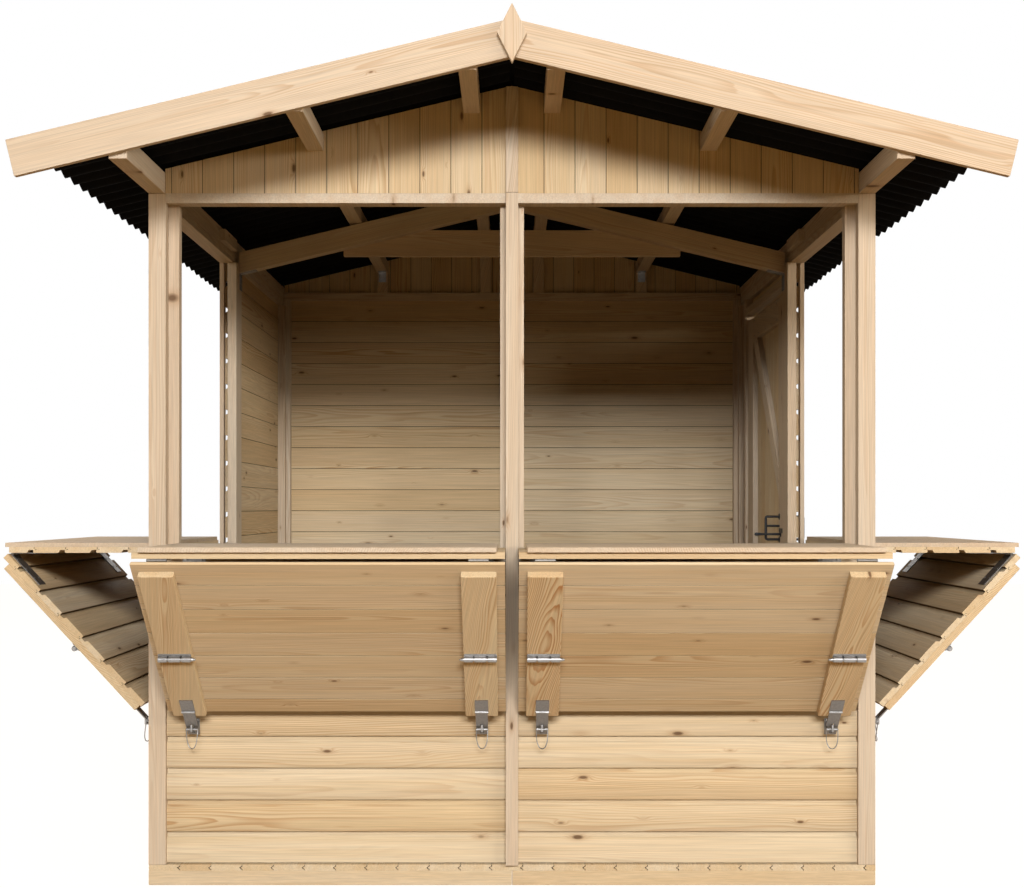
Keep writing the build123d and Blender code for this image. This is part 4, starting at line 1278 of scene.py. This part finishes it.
# %% Sleeves and screws of the hasps and lug plates
hasp_radius, hasp_seat = 3.3 * mm, 3.5 * mm
hasp_hinge, strap_seat = 0.540, 36 * mm      # down the brace from its head, off its clad face
hasp_sleeves = sleeve_row(3, 36 * mm, 0.6 * mm,
                          ((0, hasp_radius), (0, hasp_radius + 0.4 * mm)))
hasp_parts, lug_screws = [], []
for solid in solids_of("foot_straps"):
    hatch = hatch_for(solid)
    centre = (hatch.along * middle_of(solid).dot(hatch.along)
              + hatch.up_brace * (hatch.head - hasp_hinge)
              + hatch.clad_face * (hatch.face - strap_seat - hasp_seat))
    hasp_parts += set_out([hasp_sleeves], frame_at(centre, hatch.along, hatch.up_brace))
assemble("hasp_knuckles", hasp_parts, zinc, "stall")
for solid in solids_of("eye_plates"):
    hatch = hatch_for(solid)
    centre = (hatch.along * middle_of(solid).dot(hatch.along) + up * sum(limits(solid, up)) / 2
              + hatch.outward * (limits(solid, hatch.outward)[0] + 3 * mm))
    rows = grid(centre, hatch.along, (-8 * mm, 8 * mm), up, (-15 * mm, 15 * mm))
    lug_screws.append(head_mesh("screws", rows, hatch.outward, zinc, radius=2.8 * mm,
                                height=1.1 * mm, recess=0.7 * mm))
assemble("lug_screws", lug_screws, zinc, "stall")
print("hasps:", len(hasp_parts), "lug plates:", len(lug_screws))

# %% Nails of the roof brackets
bracket_nails = []
bracket_plate = 2.5 * mm


def nails(points, facing):
    """Nail heads on one face of a bracket."""
    bracket_nails.append(head_mesh("nails", points, facing, zinc, radius=3.2 * mm,
                                   height=1.3 * mm, recess=0.2 * mm))


for solid in solids_of("truss_brackets"):
    place = middle_of(solid)
    inward = left if place.x > 0 else right
    corner = (inward * (limits(solid, inward)[0] + bracket_plate) + rear * place.y
              + up * limits(solid, up)[0])
    nails(grid(corner, rear, (-10 * mm, 10 * mm), up, (9 * mm, 24 * mm, 39 * mm)), inward)
    under_rafter = Vector((inward.x * math.sin(pitch_angle), 0, -math.cos(pitch_angle)))
    up_rafter = Vector((inward.x * math.cos(pitch_angle), 0, math.sin(pitch_angle)))
    corner = (under_rafter * (limits(solid, under_rafter)[0] + bracket_plate)
              + up_rafter * limits(solid, up_rafter)[1] + rear * place.y)
    nails(grid(corner, rear, (-10 * mm, 10 * mm), -up_rafter, (9 * mm, 25 * mm, 41 * mm)),
          under_rafter)
for solid in solids_of("gable_brackets"):
    place = middle_of(solid)
    inward = rear if place.y < 0 else front
    corner = (inward * (limits(solid, inward)[0] + bracket_plate) + right * place.x
              + up * limits(solid, up)[1])
    nails(grid(corner, right, (-8 * mm, 8 * mm), down, (13 * mm, 29 * mm)), inward)
    nails(grid(corner + down * bracket_plate, right, (-8 * mm, 8 * mm), inward,
               (11 * mm, 27 * mm)), down)
assemble("roof_bracket_nails", bracket_nails, zinc, "stall")
print("bracket nails set on", len(bracket_nails), "faces")

# %% [markdown]
# ## The door's ironwork
# The door hangs on two strap hinges, screwed to its ledges through the boards. It has a pull on
# each face, a flat bar bent to a D, a lever with a drop-shaped knob inside, and the flat bar
# of the latch. These ride on the door.

# %% Screws of the strap hinges and the ledges
hinge_levels = sorted({round(sum(limits(solid, up)), 4) / 2
                       for solid in solids_of("door_straps")})
strap_face = limits(merged("door_straps"), right)[0] + 3 * mm
screws_from_pin = (55 * mm, 120 * mm, 185 * mm, 250 * mm, 293 * mm)
ledge_shares = (0.06, 0.27, 0.5, 0.755, 0.94)      # of a ledge's length


def hinge_plane(node):
    """The hinges' outer face, at the edge of a node's plates that is nearest the pin."""
    return Vector((strap_face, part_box(node)[1].y, 0))


rows = grid(hinge_plane("door_straps"), up, hinge_levels, front, screws_from_pin)
assemble("door_strap_screws", [head_mesh("screws", rows, right, zinc, radius=3.8 * mm,
                                         height=1.5 * mm)], zinc, "door")
rows = []
for level in hinge_levels:
    rows += grid(hinge_plane("door_hinge_plates") + up * level, front, (8 * mm, 24 * mm),
                 up, (-20 * mm, 20 * mm))
assemble("door_plate_screws", [head_mesh("screws", rows, right, zinc)], zinc, "stall")
rows = []
for solid in solids_of("door_ledges"):
    low, high = limits(solid, up)
    near, far = limits(solid, rear)
    rows += grid(left * limits(solid, left)[1] + rear * near, rear * (far - near),
                 ledge_shares, up, (low + 13 * mm, high - 13 * mm))
assemble("door_ledge_screws", [head_mesh("screws", rows, left, zinc, radius=3 * mm,
                                         height=0.7 * mm, recess=0.6 * mm)], zinc, "door")
print("door hinges at", hinge_levels, "and", len(rows), "ledge screws")

# %% Pulls, lever and latch
pull_low, pull_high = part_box("door_handles")
latch_low, latch_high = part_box("door_latch")
stile_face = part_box("door_stiles")[0].x
leaf_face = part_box("door_leaf")[1].x
bar, bar_width = 9 * mm, 14 * mm
pull_y = (pull_low.y + pull_high.y) / 2
stay_level = 52.5 * mm         # of the short bar that steadies the inside pull
pull_reach = stile_face - pull_low.x - bar / 2
pull_height = pull_high.z - pull_low.z - bar
bend = 15 * mm
lower_half = [(0, 0), (pull_reach / 2, 0), (pull_reach - bend, 0), (pull_reach, 0),
              (pull_reach, bend)]
pull_line = ([(x, 0, z) for x, z in lower_half] + [(pull_reach, 0, pull_height / 2)]
             + [(x, 0, pull_height - z) for x, z in reversed(lower_half)])
pull = rod(pull_line, bar / 2, 16)
pull.transform(Matrix.Diagonal((1, bar_width / bar, 1, 1)))
rosette = lathe([(0, 11 * mm), (1.6 * mm, 11 * mm), (2.8 * mm, 9.5 * mm), (3 * mm, 5 * mm)], 24)
feet = set_out([rosette], Matrix.Identity(4)) + set_out(
    [rosette], Matrix.Translation((0, 0, pull_height)))
stay = rod([(0, 0, 0), (pull_reach / 2, 0, 0), (pull_reach, 0, 0)], 4 * mm, 12)
stay.transform(Matrix.Translation((0, 0, stay_level - bar / 2)))
inside_pull = frame_at((stile_face, pull_y, pull_low.z + bar / 2), left, front)
outside_pull = frame_at((leaf_face, pull_y, pull_low.z + bar / 2), right, rear)
assemble("door_pulls", set_out([pull, stay] + feet, inside_pull)
         + set_out([pull] + feet, outside_pull), black_iron, "door", "door_handles")

lever_reach = stile_face - latch_low.x
lever_y, lever_z = 75 * mm, latch_low.z + 4.5 * mm
knob = ((34, 3.6), (24, 4.2), (12, 6.0), (5, 6.2), (1.5, 4.4), (0, 1.6))     # mm from the tip
lever = lathe([(0, 10 * mm), (2 * mm, 10 * mm), (3 * mm, 8 * mm), (3.2 * mm, 4.4 * mm)]
              + [(lever_reach - back * mm, radius * mm) for back, radius in knob])
latch_width, latch_thick = 16 * mm, 4 * mm
latch_reach = pull_low.y - latch_low.y - 1 * mm
latch_bar = slab_mesh((0, 0, 0), (latch_reach, latch_width, latch_thick), 0.6 * mm, 3 * mm)
latch_place = frame_at((stile_face, latch_low.y + latch_reach, latch_high.z - latch_width),
                       front, up)
latch_heads = head_mesh("screws", [latch_place @ Vector((x, latch_width / 2, latch_thick))
                                   for x in (10 * mm, latch_reach - 11 * mm)], left,
                        black_iron, radius=3.4 * mm)
lever_place = frame_at((stile_face, lever_y, lever_z), left, up)
assemble("door_lever_and_latch", set_out([lever], lever_place)
         + set_out([latch_bar], latch_place) + [latch_heads], black_iron, "door", "door_latch")
print("door ironwork rides on the door")

# %% [markdown]
# ## Light, floor and white surround
# One broad soft lamp stands ten metres in front, a little to the right and only slightly
# raised. It lights every front face evenly, runs through the openings to the lower half of the
# rear wall, and leaves the roof space dark. Weaker lamps fill the posts' sides and the
# counters' tops, and a faint one behind keeps the back readable. The floor and the surround
# look white, because they show at full strength to the camera and to polished metal, while
# they add only a little light to the wood. The floor is also a real surface, so the stall's
# shadow falls on it.

# %% Lamps
lamp_aim = Vector((0, 0, 1.2))       # the middle of the stall
side_light, top_light = (1.0, 0.95, 0.86), (1.0, 0.81, 0.58)


def soft_lamp(name, turn, rise, distance, width, height, strength, colour=(1, 1, 1)):
    """A soft lamp, turned to the right of the front and raised, that looks at the stall.
    At a strength of 1 it alone would light a facing white surface fully."""
    lamp = bpy.data.objects.new(name, bpy.data.lights.new(name, "AREA"))
    bpy.context.scene.collection.objects.link(lamp)
    lamp.data.shape = "RECTANGLE"
    lamp.data.size, lamp.data.size_y = width, height
    lamp.data.energy = strength * math.pi ** 2 * distance ** 2
    lamp.data.color = colour
    turn, rise = math.radians(turn), math.radians(rise)
    way = Vector((math.sin(turn) * math.cos(rise), -math.cos(turn) * math.cos(rise),
                  math.sin(rise)))
    lamp.location = lamp_aim + way * distance
    lamp.rotation_euler = way.to_track_quat("Z", "Y").to_euler()


soft_lamp("key", 3, 17.2, 10.0, 3.8, 1.5, 0.685, (0.97, 1.0, 1.05))
soft_lamp("right_side", 56, 10.5, 8.0, 5.2, 1.1, 0.36, side_light)
soft_lamp("left_side", -70, 13, 8.0, 2.8, 1.2, 0.22, side_light)
soft_lamp("overhead", -12, 76, 7.0, 4.0, 3.0, 0.38, top_light)
soft_lamp("rear", 195, 24, 9.0, 5.0, 2.0, 0.1)
print("lamps:", len(bpy.data.lights))


# %% Floor and surround
def shown_white(tree, strength):
    """How strongly a surface shows white to the camera, to metal and through glass."""
    path = add(tree, "ShaderNodeLightPath").outputs
    seen = maths(tree, "MAXIMUM", path["Is Camera Ray"],
                 maths(tree, "MAXIMUM", path["Is Glossy Ray"], path["Is Transmission Ray"]))
    return times(tree, seen, strength)


ambient = 0.004                # how strongly the surround lights the wood
floor_shown = 0.95             # how strongly the floor shows white
floor_half = 14                # metres from the middle to the floor's edge
floor_paint_colour = (0.28, 0.175, 0.065, 1)       # what it hands on: a dim warm light

world = bpy.data.worlds.new("surround")
bpy.context.scene.world = world
world.use_nodes = True
sky = world.node_tree
fill(sky, sky.nodes["Background"], {
    "Color": (1, 1, 1, 1),
    "Strength": maths(sky, "ADD", shown_white(sky, 1.0 - ambient), ambient)})

floor_paint, tree, shader = new_material("floor_white")
fill(tree, shader, {
    "Base Color": floor_paint_colour, "Roughness": 0.9, "Specular IOR Level": 0.1,
    "Emission Color": (1, 1, 1, 1), "Emission Strength": shown_white(tree, floor_shown)})
shape = bmesh.new()
bmesh.ops.create_grid(shape, x_segments=8, y_segments=8, size=floor_half)
ground = bpy.data.objects.new("ground", as_mesh(shape, "ground"))
ground.data.materials.append(floor_paint)
bpy.context.scene.collection.objects.link(ground)
ground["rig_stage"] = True
bpy.context.scene.view_settings.view_transform = "Standard"
print("floor:", 2 * floor_half, "metres wide")

# %% [markdown]
# ## The visual box
# The box round the visual stall, without the floor, is printed. The visual stall has to stay
# inside the CAD frame's box.

# %% Sizes and finish
low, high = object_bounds()
print("visual box from", tuple(low), "to", tuple(high))
